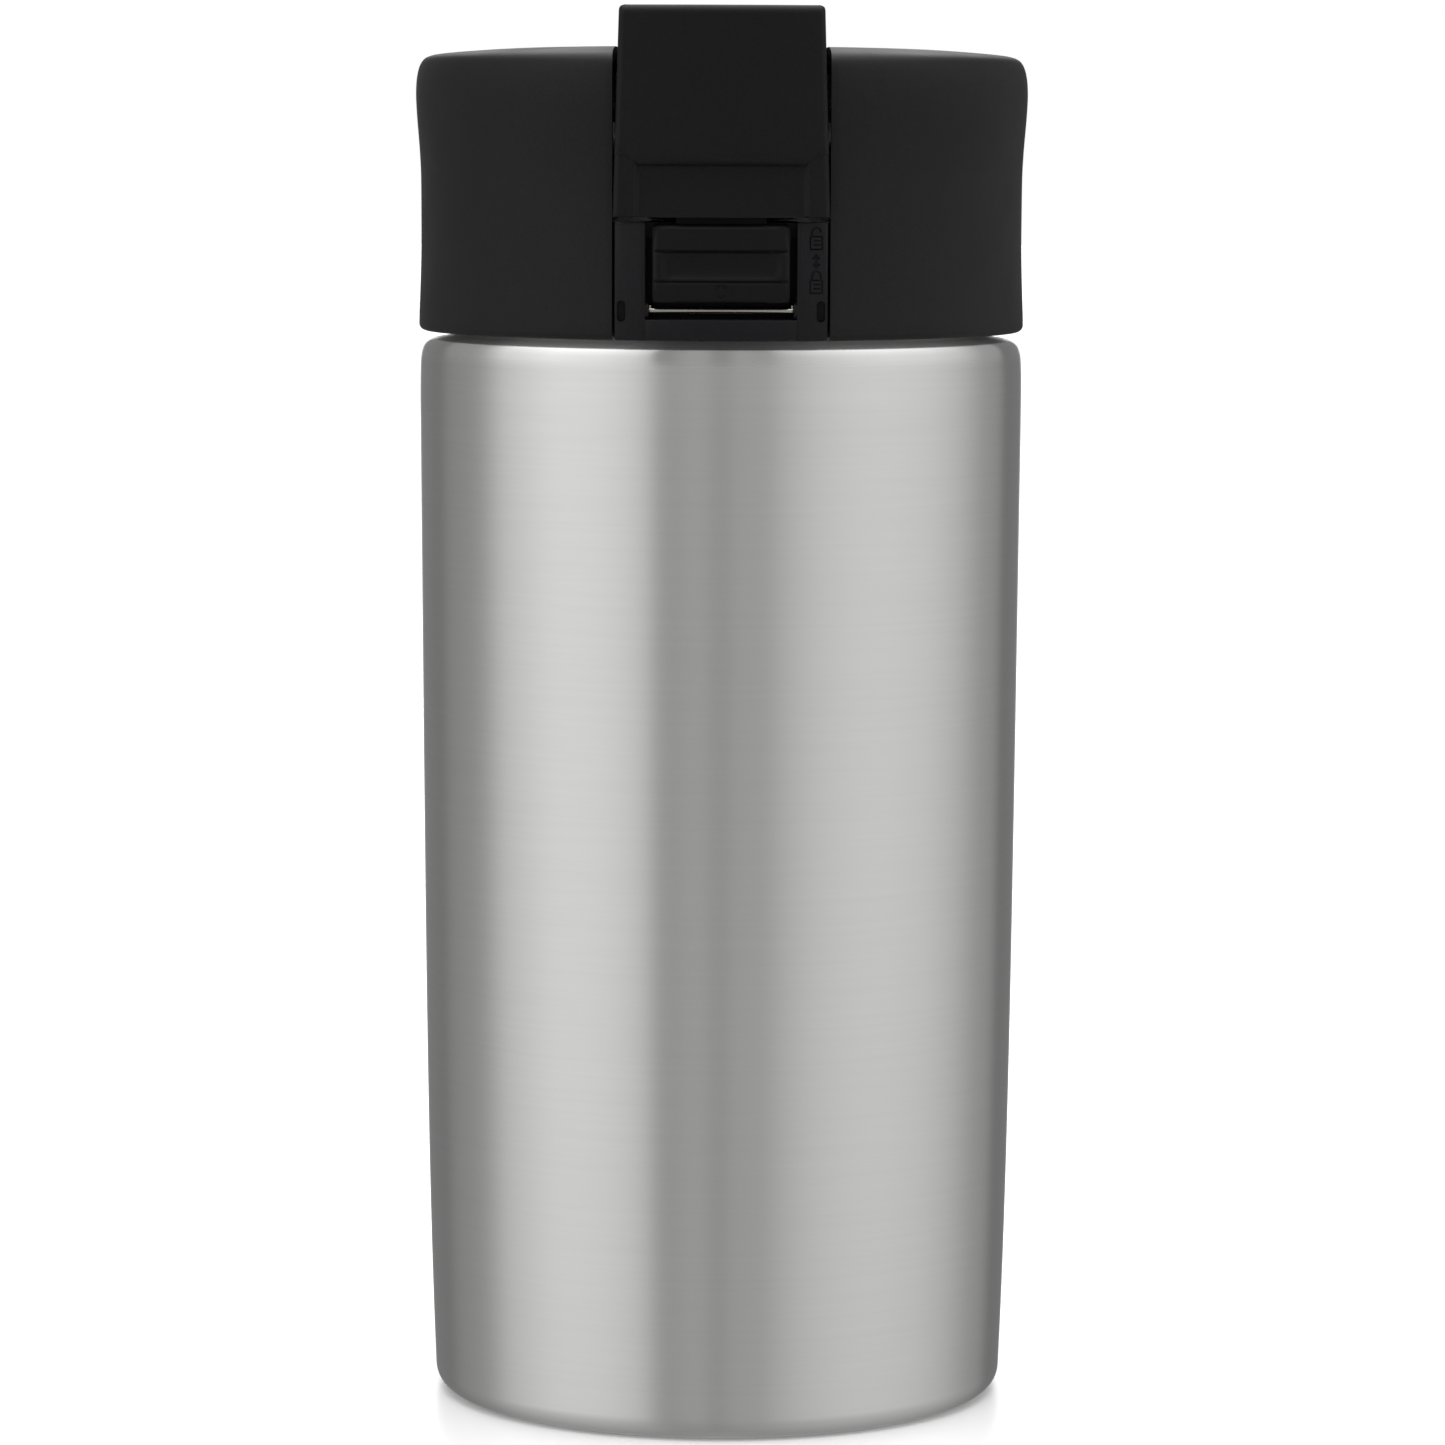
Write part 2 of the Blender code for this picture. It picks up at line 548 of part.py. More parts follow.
def make_cap_shell():
    """Flip cap: a hollow bar over the deck, the front tongue and the hinge ears."""
    rise = cap_top(24.0)
    side = [(-35.0, TONGUE_BOTTOM_Z), (-35.1, 142.8), (-35.9, 143.6), (CAP_FRONT_Y, 145.0)]
    side += [(CAP_FRONT_Y, CAP_TOP_Z - 1.2), (-35.85, CAP_TOP_Z - 0.35), (-35.0, CAP_TOP_Z)]
    side += [(24.0, rise), (28.5, 156.4), (31.4, 154.5), (31.4, 150.0), (27.9, CAP_EDGE_Z)]
    side += [(TONGUE_INNER_Y, CAP_EDGE_Z), (TONGUE_INNER_Y, TONGUE_BOTTOM_Z)]
    cap = extruded("cap_shell", side, -CAP_HALF_TOP, CAP_HALF_TOP, "X", BLACK_PLASTIC)
    for corner in cap.data.vertices:
        grown = CAP_HALF_TOP + CAP_HALF_GROWTH * (CAP_TOP_Z - corner.co.z / MM)
        corner.co.x = grown * MM if corner.co.x > 0.0 else -grown * MM
    ears = crossbar("cap_ears", EAR_RADIUS, CAP_HALF_TOP + 0.25, (HINGE_Y, HINGE_Z), segments=24)
    rib = box("cap_catch", (-5.0, TONGUE_INNER_Y + 0.3, 137.6), (5.0, TONGUE_INNER_Y - 0.3, 138.9))
    combine(cap, [ears, rib], "UNION")
    under = [(TONGUE_INNER_Y, 140.0), (TONGUE_INNER_Y, CAP_TOP_Z - CAP_WALL)]
    under += [(24.0, rise - CAP_WALL), (28.0, 154.9), (29.5, 154.2), (31.0, 154.2)]
    under += [(40.0, 153.95), (40.0, 140.0)]
    hollow = extruded("cap_hollow", under, -CAVITY_HALF, CAVITY_HALF, "X")
    bore = crossbar("ear_bore", HINGE_BORE, 20.0, (HINGE_Y, HINGE_Z))
    return combine(cap, [hollow, bore], "DIFFERENCE")


def make_cap_liner():
    """Insert under the cap's top, with the socket that holds the spout stopper."""
    gap = CAP_WALL + 0.3
    front = -33.3
    back = 23.0
    side = [(front, cap_top(front) - gap), (back, cap_top(back) - gap)]
    side += [(back, cap_top(back) - gap - 1.0), (-15.4, cap_top(-15.4) - gap - 1.0)]
    side += [(-15.4, 154.3), (front, 154.3)]
    liner = extruded("cap_liner", side, -9.0, 9.0, "X", DARK_PLASTIC)
    pocket = box("liner_pocket", (-8.0, -31.9, 150.0), (8.0, -16.2, 156.8))
    return combine(liner, [pocket], "DIFFERENCE")


def make_stoppers():
    """Silicone stopper for the spout and the small one for the air vent."""
    stopper = box("spout_stopper", (-7.6, -31.5, 153.85), (7.6, -16.6, 156.4), SILICONE, 0.5)
    plug = box("stopper_plug", (-6.7, -29.3, 151.5), (6.7, -18.0, 154.5), bevel=0.4)
    combine(stopper, [plug], "UNION")
    stem = [(0.0, 147.6), (0.8, 147.6), (0.9, 149.4), (2.4, 149.4), (2.4, 150.4), (1.4, 150.8)]
    stem += [(1.4, 155.7), (0.0, 155.7)]
    vent = turned("vent_stopper", stem, SILICONE, at=(0.0, VENT_Y), segments=16)
    return [stopper, vent]


def make_cap_spring():
    """Torsion spring on the hinge pin, with a leg under the cap and one on the core."""
    turns = 5.5
    per_turn = 8
    radius = 1.75
    points = [(-2.5, 26.0, 153.1)]
    steps = int(turns * per_turn)
    for step in range(steps + 1):
        angle = 0.6 * pi - 2.0 * pi * step / per_turn
        x = -2.5 + 5.0 * step / steps
        points.append((x, HINGE_Y + radius * cos(angle), HINGE_Z + radius * sin(angle)))
    points.append((2.5, 26.0, 147.0))
    return coil("cap_spring", 0.25, SPRING_STEEL, points)


def main():
    """Build every piece and hang the moving ones from their joint axes."""
    clear_scene()
    make_outer_shell()
    make_inner_liner()
    make_base()
    latch_pin, hinge_pin = make_pins()
    lid = [make_collar(), make_core(), make_lid_base(), make_mouthpiece(), make_latch_frame()]
    lid += [latch_pin, hinge_pin, make_latch_spring(), make_cap_spring()]
    hang([make_gasket()] + lid, joint_axis("lid_axis", (0.0, 0.0, COLLAR_BOTTOM_Z)))
    cap = [make_cap_shell(), make_cap_liner()] + make_stoppers()
    hang(cap, joint_axis("cap_axis", (0.0, HINGE_Y, HINGE_Z)))
    hang([make_rocker()], joint_axis("latch_axis", (0.0, LATCH_Y, LATCH_Z)))
    hang([make_thumb_piece()], joint_axis("lock_axis", (0.0, THUMB_BACK_Y, THUMB_TOP_Z)))


main()
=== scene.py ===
"""Looks of the insulated travel mug: a brushed steel flask under a black flip-cap lid.

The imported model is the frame: it gives the bodies, the joints and every solid's place.
Each solid that shows is replaced by a finely modelled piece that rides on the same body,
and each finish is a procedural material.  Lengths are in millimetres, scaled by MM.
"""
from __future__ import annotations

import logging
import math
from dataclasses import dataclass
from enum import Enum
from typing import Callable, Sequence

import bpy
from mathutils import Matrix, Vector


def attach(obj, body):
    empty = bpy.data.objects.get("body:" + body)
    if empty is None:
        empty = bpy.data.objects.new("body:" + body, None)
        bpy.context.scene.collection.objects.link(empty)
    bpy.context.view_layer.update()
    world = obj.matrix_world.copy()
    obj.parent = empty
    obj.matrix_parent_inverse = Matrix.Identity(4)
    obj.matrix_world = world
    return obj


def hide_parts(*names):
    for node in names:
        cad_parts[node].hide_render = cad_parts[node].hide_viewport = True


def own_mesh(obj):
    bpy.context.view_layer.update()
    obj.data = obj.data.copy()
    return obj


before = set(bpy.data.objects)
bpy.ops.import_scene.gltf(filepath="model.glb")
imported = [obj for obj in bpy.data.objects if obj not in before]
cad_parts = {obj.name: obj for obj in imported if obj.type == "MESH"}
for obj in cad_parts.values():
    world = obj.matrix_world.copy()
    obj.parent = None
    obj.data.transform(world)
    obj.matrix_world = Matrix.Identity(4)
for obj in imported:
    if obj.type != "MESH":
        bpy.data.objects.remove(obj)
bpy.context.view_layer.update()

log = logging.getLogger("mug")

MM = 0.001
ROUND = 224
SMALL_ROUND = 48
SMOOTH_ANGLE = math.radians(32.0)
LEVELLING = 0.12

VERTICES = (True, False, False)
EDGES = (False, True, False)
FACES = (False, False, True)

Point2 = tuple[float, float]
Point3 = tuple[float, float, float]
Piece = bpy.types.Object


class Body(Enum):
    """The CAD bodies that pieces ride on."""

    FLASK = "flask"
    GASKET = "gasket"
    LID = "lid"
    CAP = "flip_cap"
    LATCH = "latch"
    LOCK = "lock"


class Axis(Enum):
    """The direction in which a drawn section is extruded."""

    X = (1.0, 0.0, 0.0)
    Y = (0.0, 1.0, 0.0)
    Z = (0.0, 0.0, 1.0)


# ------------------------------------------------------------------ bench tools

def clear_selection() -> None:
    """Leave edit mode and deselect every object."""
    if bpy.context.mode != "OBJECT":
        bpy.ops.object.mode_set(mode="OBJECT")
    bpy.ops.object.select_all(action="DESELECT")


def pick(piece: Piece) -> None:
    """Make the piece the only selected object and the active one."""
    clear_selection()
    piece.select_set(True)
    bpy.context.view_layer.objects.active = piece


def edit(piece: Piece, mode: tuple[bool, bool, bool] = VERTICES) -> None:
    """Enter edit mode on the piece.

    Args:
        piece: The object to edit.
        mode: What is selected: VERTICES, EDGES or FACES.
    """
    pick(piece)
    bpy.context.tool_settings.mesh_select_mode = mode
    bpy.ops.object.mode_set(mode="EDIT")


def edit_all(piece: Piece, mode: tuple[bool, bool, bool] = VERTICES) -> None:
    """Enter edit mode with all of the piece selected."""
    edit(piece, mode)
    bpy.ops.mesh.select_all(action="SELECT")


def leave() -> None:
    """Return to object mode."""
    bpy.ops.object.mode_set(mode="OBJECT")


def deselect(mesh: bpy.types.Mesh) -> None:
    """Deselect every vertex, edge and face, from object mode."""
    for part in (*mesh.vertices, *mesh.edges, *mesh.polygons):
        part.select = False


def close_up(piece: Piece) -> None:
    """Merge doubled vertices and turn the faces outwards."""
    edit_all(piece)
    bpy.ops.mesh.remove_doubles(threshold=1e-6)
    bpy.ops.mesh.normals_make_consistent(inside=False)
    leave()


def section(name: str, points: Sequence[Point3]) -> Piece:
    """Add a closed wire through the points, in millimetres.

    Args:
        name: The object's name.
        points: The corners in order.

    Returns:
        The wire's object: a circle whose vertices were moved to the points.
    """
    clear_selection()
    bpy.ops.mesh.primitive_circle_add(vertices=len(points), radius=MM, fill_type="NOTHING")
    piece = bpy.context.active_object
    piece.name = piece.data.name = name
    for vertex, point in zip(piece.data.vertices, points):
        vertex.co = Vector(point) * MM
    return piece


def spun(name: str, outline: Sequence[Point2], at: Point2 = (0.0, 0.0), steps: int = ROUND) -> Piece:
    """Spin a section of (radius, height) about the vertical axis through a point.

    Args:
        name: The object's name.
        outline: The section's corners; it may start and end on the axis.
        at: Where the axis stands, as (x, y).
        steps: How many columns the turned wall has.

    Returns:
        The closed turned piece.
    """
    piece = section(name, [(at[0] + r, at[1], z) for r, z in outline])
    if outline[0][0] == 0.0 and outline[-1][0] == 0.0:
        ends = {0, len(outline) - 1}
        deselect(piece.data)
        for edge in piece.data.edges:
            edge.select = set(edge.vertices) == ends
        edit(piece, EDGES)
        bpy.ops.mesh.delete(type="EDGE")
        leave()
    edit_all(piece)
    centre = (at[0] * MM, at[1] * MM, 0.0)
    bpy.ops.mesh.spin(steps=steps, angle=2.0 * math.pi, center=centre, axis=(0.0, 0.0, 1.0))
    leave()
    close_up(piece)
    return piece


def slab(name: str, outline: Sequence[Point2], axis: Axis, start: float, end: float) -> Piece:
    """Fill a drawn outline and extrude it.

    Args:
        name: The object's name.
        outline: Corners as (y, z) for X, (x, z) for Y or (x, y) for Z.
        axis: The direction of the extrusion.
        start: Where the outline stands on that axis.
        end: Where the extrusion stops.

    Returns:
        The closed prism.
    """
    if axis is Axis.X:
        points = [(start, a, b) for a, b in outline]
    elif axis is Axis.Y:
        points = [(a, start, b) for a, b in outline]
    else:
        points = [(a, b, start) for a, b in outline]
    piece = section(name, points)
    edit_all(piece)
    bpy.ops.mesh.edge_face_add()
    step = Vector(axis.value) * (end - start) * MM
    bpy.ops.mesh.extrude_region_move(TRANSFORM_OT_translate={"value": tuple(step)})
    leave()
    close_up(piece)
    return piece


def block(name: str, low: Point3, high: Point3) -> Piece:
    """Add a box between two corners, as a start for cutting and bevelling."""
    clear_selection()
    size = (Vector(high) - Vector(low)) * MM
    middle = (Vector(high) + Vector(low)) * MM / 2.0
    bpy.ops.mesh.primitive_cube_add(size=1.0, location=middle, scale=size)
    bpy.ops.object.transform_apply(location=True, rotation=True, scale=True)
    piece = bpy.context.active_object
    piece.name = piece.data.name = name
    return piece


def post(name: str, radius: float, low: float, high: float, at: Point2) -> Piece:
    """Add an upright round bar between two heights."""
    return spun(name, [(0.0, low), (radius, low), (radius, high), (0.0, high)], at, SMALL_ROUND)


def crossrod(name: str, radius: float, half: float, centre: Point2, count: int = SMALL_ROUND) -> Piece:
    """Add a round bar along X through (y, z), from -half to half."""
    turns = [2.0 * math.pi * step / count for step in range(count)]
    outline = [(centre[0] + radius * math.cos(t), centre[1] + radius * math.sin(t)) for t in turns]
    return slab(name, outline, Axis.X, -half, half)


def apply(piece: Piece, kind: str, **settings: object) -> None:
    """Add a modifier with its settings and apply it."""
    modifier = piece.modifiers.new(kind.title(), kind)
    for key, value in settings.items():
        setattr(modifier, key, value)
    pick(piece)
    bpy.ops.object.modifier_apply(modifier=modifier.name)


def carve(piece: Piece, tools: Sequence[Piece], operation: str = "DIFFERENCE") -> Piece:
    """Cut the tools from the piece, or add them to it, and throw the tools away.

    Args:
        piece: The piece that is shaped.
        tools: Closed solids that are used up.
        operation: DIFFERENCE or UNION.

    Returns:
        The shaped piece.
    """
    for tool in tools:
        apply(piece, "BOOLEAN", operation=operation, object=tool, solver="EXACT")
        bpy.data.objects.remove(tool, do_unlink=True)
    return piece


def soften(piece: Piece, width: float, segments: int = 3, angle: float = 35.0) -> Piece:
    """Round the piece's sharp edges by a bevel of that width in millimetres."""
    apply(piece, "BEVEL", width=width * MM, segments=segments, limit_method="ANGLE",
          angle_limit=math.radians(angle), use_clamp_overlap=True, miter_outer="MITER_ARC")
    return piece


def relief(name: str, xs: Sequence[float], zs: Sequence[float], half: Callable[[float], float],
           front: Callable[[float, float], float], back: float) -> Piece:
    """Build a plate whose front is a height field and whose back is flat.

    Args:
        name: The object's name.
        xs: Column stations from -1 to 1 across the width.
        zs: Row heights from the bottom up.
        half: Half the plate's width at a height.
        front: The front's y at (x, z).
        back: The flat back's y.

    Returns:
        The closed plate.
    """
    clear_selection()
    columns, rows = len(xs) - 1, len(zs) - 1
    bpy.ops.mesh.primitive_grid_add(x_subdivisions=columns, y_subdivisions=rows, size=2.0)
    piece = bpy.context.active_object
    piece.name = piece.data.name = name
    for vertex in piece.data.vertices:
        z = zs[round((vertex.co.y + 1.0) / 2.0 * rows)]
        x = xs[round((vertex.co.x + 1.0) / 2.0 * columns)] * half(z)
        vertex.co = Vector((x, front(x, z), z)) * MM
    edit_all(piece, FACES)
    bpy.ops.mesh.extrude_region_move(TRANSFORM_OT_translate={"value": (0.0, 10.0 * MM, 0.0)})
    leave()
    for vertex in piece.data.vertices:
        if vertex.select:
            vertex.co.y = back * MM
    edit(piece, FACES)
    bpy.ops.mesh.dissolve_limited(angle_limit=0.01)
    leave()
    close_up(piece)
    return piece


def wire(name: str, points: Sequence[Point3], radius: float, sides: int = 3,
         closed: bool = False) -> Piece:
    """Sweep a round wire of that radius along the points and make it a mesh."""
    curve = bpy.data.curves.new(name, "CURVE")
    curve.dimensions = "3D"
    curve.bevel_depth = radius * MM
    curve.bevel_resolution = sides
    curve.use_fill_caps = not closed
    spline = curve.splines.new("POLY")
    spline.points.add(len(points) - 1)
    for target, point in zip(spline.points, points):
        target.co = (*(Vector(point) * MM), 1.0)
    spline.use_cyclic_u = closed
    piece = bpy.data.objects.new(name, curve)
    bpy.context.scene.collection.objects.link(piece)
    pick(piece)
    bpy.ops.object.convert(target="MESH")
    piece = bpy.context.active_object
    close_up(piece)
    return piece


def arc(centre: Point2, radius: float, start: float, end: float, steps: int) -> list[Point2]:
    """Return points on an arc between two angles in degrees."""
    points = []
    for step in range(steps + 1):
        angle = math.radians(start + (end - start) * step / steps)
        points.append((centre[0] + radius * math.cos(angle), centre[1] + radius * math.sin(angle)))
    return points


def flowing(points: Sequence[Point2], per_span: int = 5) -> list[Point2]:
    """Return a smooth curve through the points (Catmull-Rom), ends included."""
    track = [points[0], *points, points[-1]]
    curve: list[Point2] = []
    for p0, p1, p2, p3 in zip(track, track[1:], track[2:], track[3:]):
        for step in range(per_span):
            t = step / per_span
            weights = (-0.5 * t ** 3 + t * t - 0.5 * t, 1.5 * t ** 3 - 2.5 * t * t + 1.0,
                       -1.5 * t ** 3 + 2.0 * t * t + 0.5 * t, 0.5 * t ** 3 - 0.5 * t * t)
            mixed = [sum(w * p[k] for w, p in zip(weights, (p0, p1, p2, p3))) for k in (0, 1)]
            curve.append((mixed[0], mixed[1]))
    curve.append(points[-1])
    return curve


def stations(*spans: tuple[float, float, int]) -> list[float]:
    """Return heights or columns: each span (start, end, count) is divided evenly."""
    values = [spans[0][0]]
    for start, end, count in spans:
        values += [start + (end - start) * step / count for step in range(1, count + 1)]
    return values


def ease(value: float, low: float, high: float) -> float:
    """Rise smoothly from 0 at low to 1 at high."""
    t = min(1.0, max(0.0, (value - low) / (high - low)))
    return t * t * (3.0 - 2.0 * t)


def roundover(distance: float, radius: float) -> float:
    """How far a rounded edge falls back at that distance from the edge."""
    inside = min(1.0, max(0.0, 1.0 - distance / radius))
    return radius * (1.0 - math.sqrt(1.0 - inside * inside))


# ------------------------------------------------------------------ finishes

def linear(code: str) -> tuple[float, float, float, float]:
    """Turn an sRGB hex value such as #262424 into a linear colour with alpha 1."""
    channels = [int(code[i:i + 2], 16) / 255.0 for i in (1, 3, 5)]
    turned = [c / 12.92 if c <= 0.04045 else ((c + 0.055) / 1.055) ** 2.4 for c in channels]
    return (turned[0], turned[1], turned[2], 1.0)


def add(tree: bpy.types.NodeTree, kind: str, inputs: dict | None = None, links: dict | None = None,
        **settings: object) -> bpy.types.Node:
    """Add a node.

    Args:
        tree: The node tree it goes into.
        kind: The node's type name.
        inputs: Socket to value.
        links: Socket to the output that feeds it.
        **settings: The node's own settings.

    Returns:
        The new node.
    """
    node = tree.nodes.new(kind)
    for key, value in settings.items():
        setattr(node, key, value)
    for key, value in (inputs or {}).items():
        node.inputs[key].default_value = value
    for key, source in (links or {}).items():
        tree.links.new(source, node.inputs[key])
    return node


@dataclass(frozen=True)
class Finish:
    """A finish: the shader's own numbers; subclasses add its pattern."""

    name: str
    slot: str
    colour: str
    roughness: float
    metallic: float = 0.0

    def material(self) -> bpy.types.Material:
        """Return the finish's material, made on first use."""
        made = bpy.data.materials.get(self.name)
        if made:
            return made
        made = bpy.data.materials.new(self.name)
        made.use_nodes = True
        shader = made.node_tree.nodes["Principled BSDF"]
        shader.inputs["Base Color"].default_value = linear(self.colour)
        shader.inputs["Roughness"].default_value = self.roughness
        shader.inputs["Metallic"].default_value = self.metallic
        self.pattern(made.node_tree, shader)
        return made

    def pattern(self, tree: bpy.types.NodeTree, shader: bpy.types.Node) -> None:
        """Add the finish's pattern; a plain finish has none."""

    def stretched_noise(self, tree: bpy.types.NodeTree, grain: Point3,
                        detail: float = 2.0) -> bpy.types.Node:
        """Add noise on Object coordinates whose grain is given in millimetres along X, Y and Z."""
        place = add(tree, "ShaderNodeTexCoord")
        scale = tuple(1.0 / (size * MM) for size in grain)
        mapping = add(tree, "ShaderNodeMapping", {"Scale": scale}, {"Vector": place.outputs["Object"]})
        return add(tree, "ShaderNodeTexNoise", {"Scale": 1.0, "Detail": detail},
                   {"Vector": mapping.outputs["Vector"]})

    def tint(self, tree: bpy.types.NodeTree, shader: bpy.types.Node, noise: bpy.types.Node, dark: float,
             light: float) -> None:
        """Let the colour drift from dark to light times its own value with the noise."""
        tone = self.spread(tree, noise.outputs["Fac"], 0.0, 1.0)
        base = Vector(linear(self.colour)[:3])
        mix = add(tree, "ShaderNodeMix", {"A": (*(base * dark), 1.0), "B": (*(base * light), 1.0)},
                  {"Factor": tone}, data_type="RGBA")
        tree.links.new(mix.outputs["Result"], shader.inputs["Base Color"])

    def raise_grain(self, tree: bpy.types.NodeTree, shader: bpy.types.Node, noise: bpy.types.Node,
                    strength: float, depth: float) -> None:
        """Raise the noise as a bump of that depth in millimetres."""
        bump = add(tree, "ShaderNodeBump", {"Strength": strength, "Distance": depth * MM},
                   {"Height": noise.outputs["Fac"]})
        tree.links.new(bump.outputs["Normal"], shader.inputs["Normal"])

    def dull(self, tree: bpy.types.NodeTree, shader: bpy.types.Node, noise: bpy.types.Node, low: float,
             high: float) -> None:
        """Let the roughness drift from low to high with the noise."""
        tree.links.new(self.spread(tree, noise.outputs["Fac"], low, high), shader.inputs["Roughness"])

    def spread(self, tree: bpy.types.NodeTree, source: bpy.types.NodeSocket, low: float,
               high: float) -> bpy.types.NodeSocket:
        """Map a 0.3 to 0.7 noise value to the range from low to high."""
        node = add(tree, "ShaderNodeMapRange",
                   {"From Min": 0.3, "From Max": 0.7, "To Min": low, "To Max": high}, {"Value": source})
        return node.outputs["Result"]


@dataclass(frozen=True)
class BrushedSteel(Finish):
    """Type 304 stainless sheet, brushed round the axis with a fine belt.

    The lines run round the wall, so highlights stretch up and down it.  Real scratches are
    about 0.03 mm apart; they are drawn at line_pitch so that they show.  Between the two
    heights of rim the surface turns smoother, down to rim_gloss of its roughness, where the
    belt ran over the shoulder; between those of shade it turns duller again, by dulling.
    """

    line_pitch: float = 0.16
    line_length: float = 14.0
    depth: float = 0.0022
    anisotropy: float = 1.0
    rim: Point2 = (120.0, 121.9)
    shade: Point2 = (122.25, 122.6)
    rim_gloss: float = 0.45
    dulling: float = 1.3

    def pattern(self, tree: bpy.types.NodeTree, shader: bpy.types.Node) -> None:
        """Add brush lines in bump, roughness and tone."""
        tangent = add(tree, "ShaderNodeTangent", direction_type="RADIAL", axis="Z")
        tree.links.new(tangent.outputs["Tangent"], shader.inputs["Tangent"])
        shader.inputs["Anisotropic"].default_value = self.anisotropy
        shader.inputs["Anisotropic Rotation"].default_value = 0.25
        long = self.line_length
        lines = self.stretched_noise(tree, (long, long, self.line_pitch), 3.0)
        bands = self.stretched_noise(tree, (long * 2.0, long * 2.0, self.line_pitch * 3.0), 3.0)
        self.raise_grain(tree, shader, lines, 0.2, self.depth)
        rough = self.spread(tree, lines.outputs["Fac"], self.roughness - 0.02, self.roughness + 0.025)
        place = add(tree, "ShaderNodeSeparateXYZ", None,
                    {"Vector": add(tree, "ShaderNodeTexCoord").outputs["Object"]})
        rim = add(tree, "ShaderNodeMapRange",
                  {"From Min": self.rim[0] * MM, "From Max": self.rim[1] * MM,
                   "To Min": 1.0, "To Max": self.rim_gloss},
                  {"Value": place.outputs["Z"]}, interpolation_type="SMOOTHSTEP")
        under = add(tree, "ShaderNodeMapRange",
                    {"From Min": self.shade[0] * MM, "From Max": self.shade[1] * MM,
                     "To Min": 0.0, "To Max": self.dulling},
                    {"Value": place.outputs["Z"]})
        worn = add(tree, "ShaderNodeMath", None, {0: rim.outputs["Result"], 1: under.outputs["Result"]},
                   operation="MAXIMUM")
        worn = add(tree, "ShaderNodeMath", None, {0: rough, 1: worn.outputs["Value"]},
                   operation="MULTIPLY")
        tree.links.new(worn.outputs["Value"], shader.inputs["Roughness"])
        self.tint(tree, shader, bands, 0.985, 1.012)


@dataclass(frozen=True)
class MouldedPlastic(Finish):
    """Injection-moulded ABS or polypropylene from a spark-eroded mould.

    The erosion leaves a fine even grain that breaks up every highlight; grain is its size.
    """

    grain: float = 0.22
    depth: float = 0.012
    wear: float = 0.04
    gloss: float = 0.1

    def pattern(self, tree: bpy.types.NodeTree, shader: bpy.types.Node) -> None:
        """Add the mould's grain in bump and a slow change of gloss."""
        shader.inputs["Specular IOR Level"].default_value = self.gloss
        size = self.grain
        grain = self.stretched_noise(tree, (size, size, size), 2.0)
        self.raise_grain(tree, shader, grain, 0.5, self.depth)
        cloud = self.stretched_noise(tree, (9.0, 9.0, 9.0), 3.0)
        self.dull(tree, shader, cloud, self.roughness - self.wear, self.roughness + self.wear)
        self.tint(tree, shader, grain, 0.85, 1.15)


@dataclass(frozen=True)
class DrawnWire(Finish):
    """Polished or drawn steel: bright, with faint lengthwise die marks."""

    grain: Point3 = (0.1, 0.1, 0.1)

    def pattern(self, tree: bpy.types.NodeTree, shader: bpy.types.Node) -> None:
        """Add a faint variation of gloss."""
        marks = self.stretched_noise(tree, self.grain, 2.0)
        self.dull(tree, shader, marks, self.roughness * 0.8, self.roughness * 1.25)


@dataclass(frozen=True)
class Silicone(Finish):
    """Food-grade silicone rubber: matt, slightly see-through, faintly dusty."""

    def pattern(self, tree: bpy.types.NodeTree, shader: bpy.types.Node) -> None:
        """Add depth to the rubber and a soft surface."""
        shader.inputs["Subsurface Weight"].default_value = 0.25
        shader.inputs["Subsurface Scale"].default_value = 2.0 * MM
        shader.inputs["IOR"].default_value = 1.41
        cloud = self.stretched_noise(tree, (1.2, 1.2, 1.2), 3.0)
        self.dull(tree, shader, cloud, self.roughness - 0.06, self.roughness + 0.06)


BODY_STEEL = BrushedSteel("brushed_304_steel", "brushed_steel", "#cfcfce", 0.34, 1.0)
CUP_STEEL = DrawnWire("electropolished_steel", "inner_steel", "#d6d4d0", 0.2, 1.0, (3.0, 3.0, 3.0))
PIN_STEEL = DrawnWire("polished_steel", "bright_steel", "#bab6ae", 0.22, 1.0, (0.6, 0.15, 0.15))
SPRING_STEEL = DrawnWire("drawn_spring_steel", "spring_steel", "#c9c8c5", 0.24, 1.0)
GETTER = DrawnWire("sintered_getter", "getter_metal", "#7d7a76", 0.62, 1.0, (0.3, 0.3, 0.3))
CASING = MouldedPlastic("spark_textured_abs", "black_plastic", "#181718", 0.46)
CAP_PLASTIC = MouldedPlastic("fine_textured_abs", "black_plastic", "#141314", 0.42)
SLIDE_PLASTIC = MouldedPlastic("satin_black_acetal", "black_plastic", "#101011", 0.40, 0.0, 0.18, 0.006)
TRIM = MouldedPlastic("satin_moulded_abs", "black_plastic", "#151416", 0.40, 0.0, 0.18, 0.006)
INNER_PLASTIC = MouldedPlastic("moulded_polypropylene", "dark_plastic", "#1c1b1d", 0.40, 0.0, 0.3, 0.006)
# The lever's black plastic is made darker than the other plastics. This is painted shade: the rocker seen
# in the gap under the tongue and behind the thumb piece reads as shadow.
SHADE_DARKENED_LEVER_PLASTIC = MouldedPlastic("black_acetal", "dark_plastic", "#0c0c0d", 0.55, 0.0, 0.3, 0.004)
SEAL_RUBBER = Silicone("silicone_rubber", "silicone", "#9a9b9c", 0.5)


def dress(piece: Piece, finish: Finish, body: Body, node: str) -> Piece:
    """Finish a piece: material, smooth shading, the body it rides on and the node it replaces.

    Args:
        piece: The modelled piece.
        finish: What it is made of.
        body: The body it moves with.
        node: The CAD node it stands for.

    Returns:
        The dressed piece.
    """
    piece.name = piece.data.name = f"{node}_fine"
    piece.data.materials.clear()
    piece.data.materials.append(finish.material())
    pick(piece)
    bpy.ops.object.shade_smooth_by_angle(angle=SMOOTH_ANGLE)
    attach(piece, body.value)
    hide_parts(node)
    log.info("%s: %d faces in %s", piece.name, len(piece.data.polygons), finish.name)
    return piece


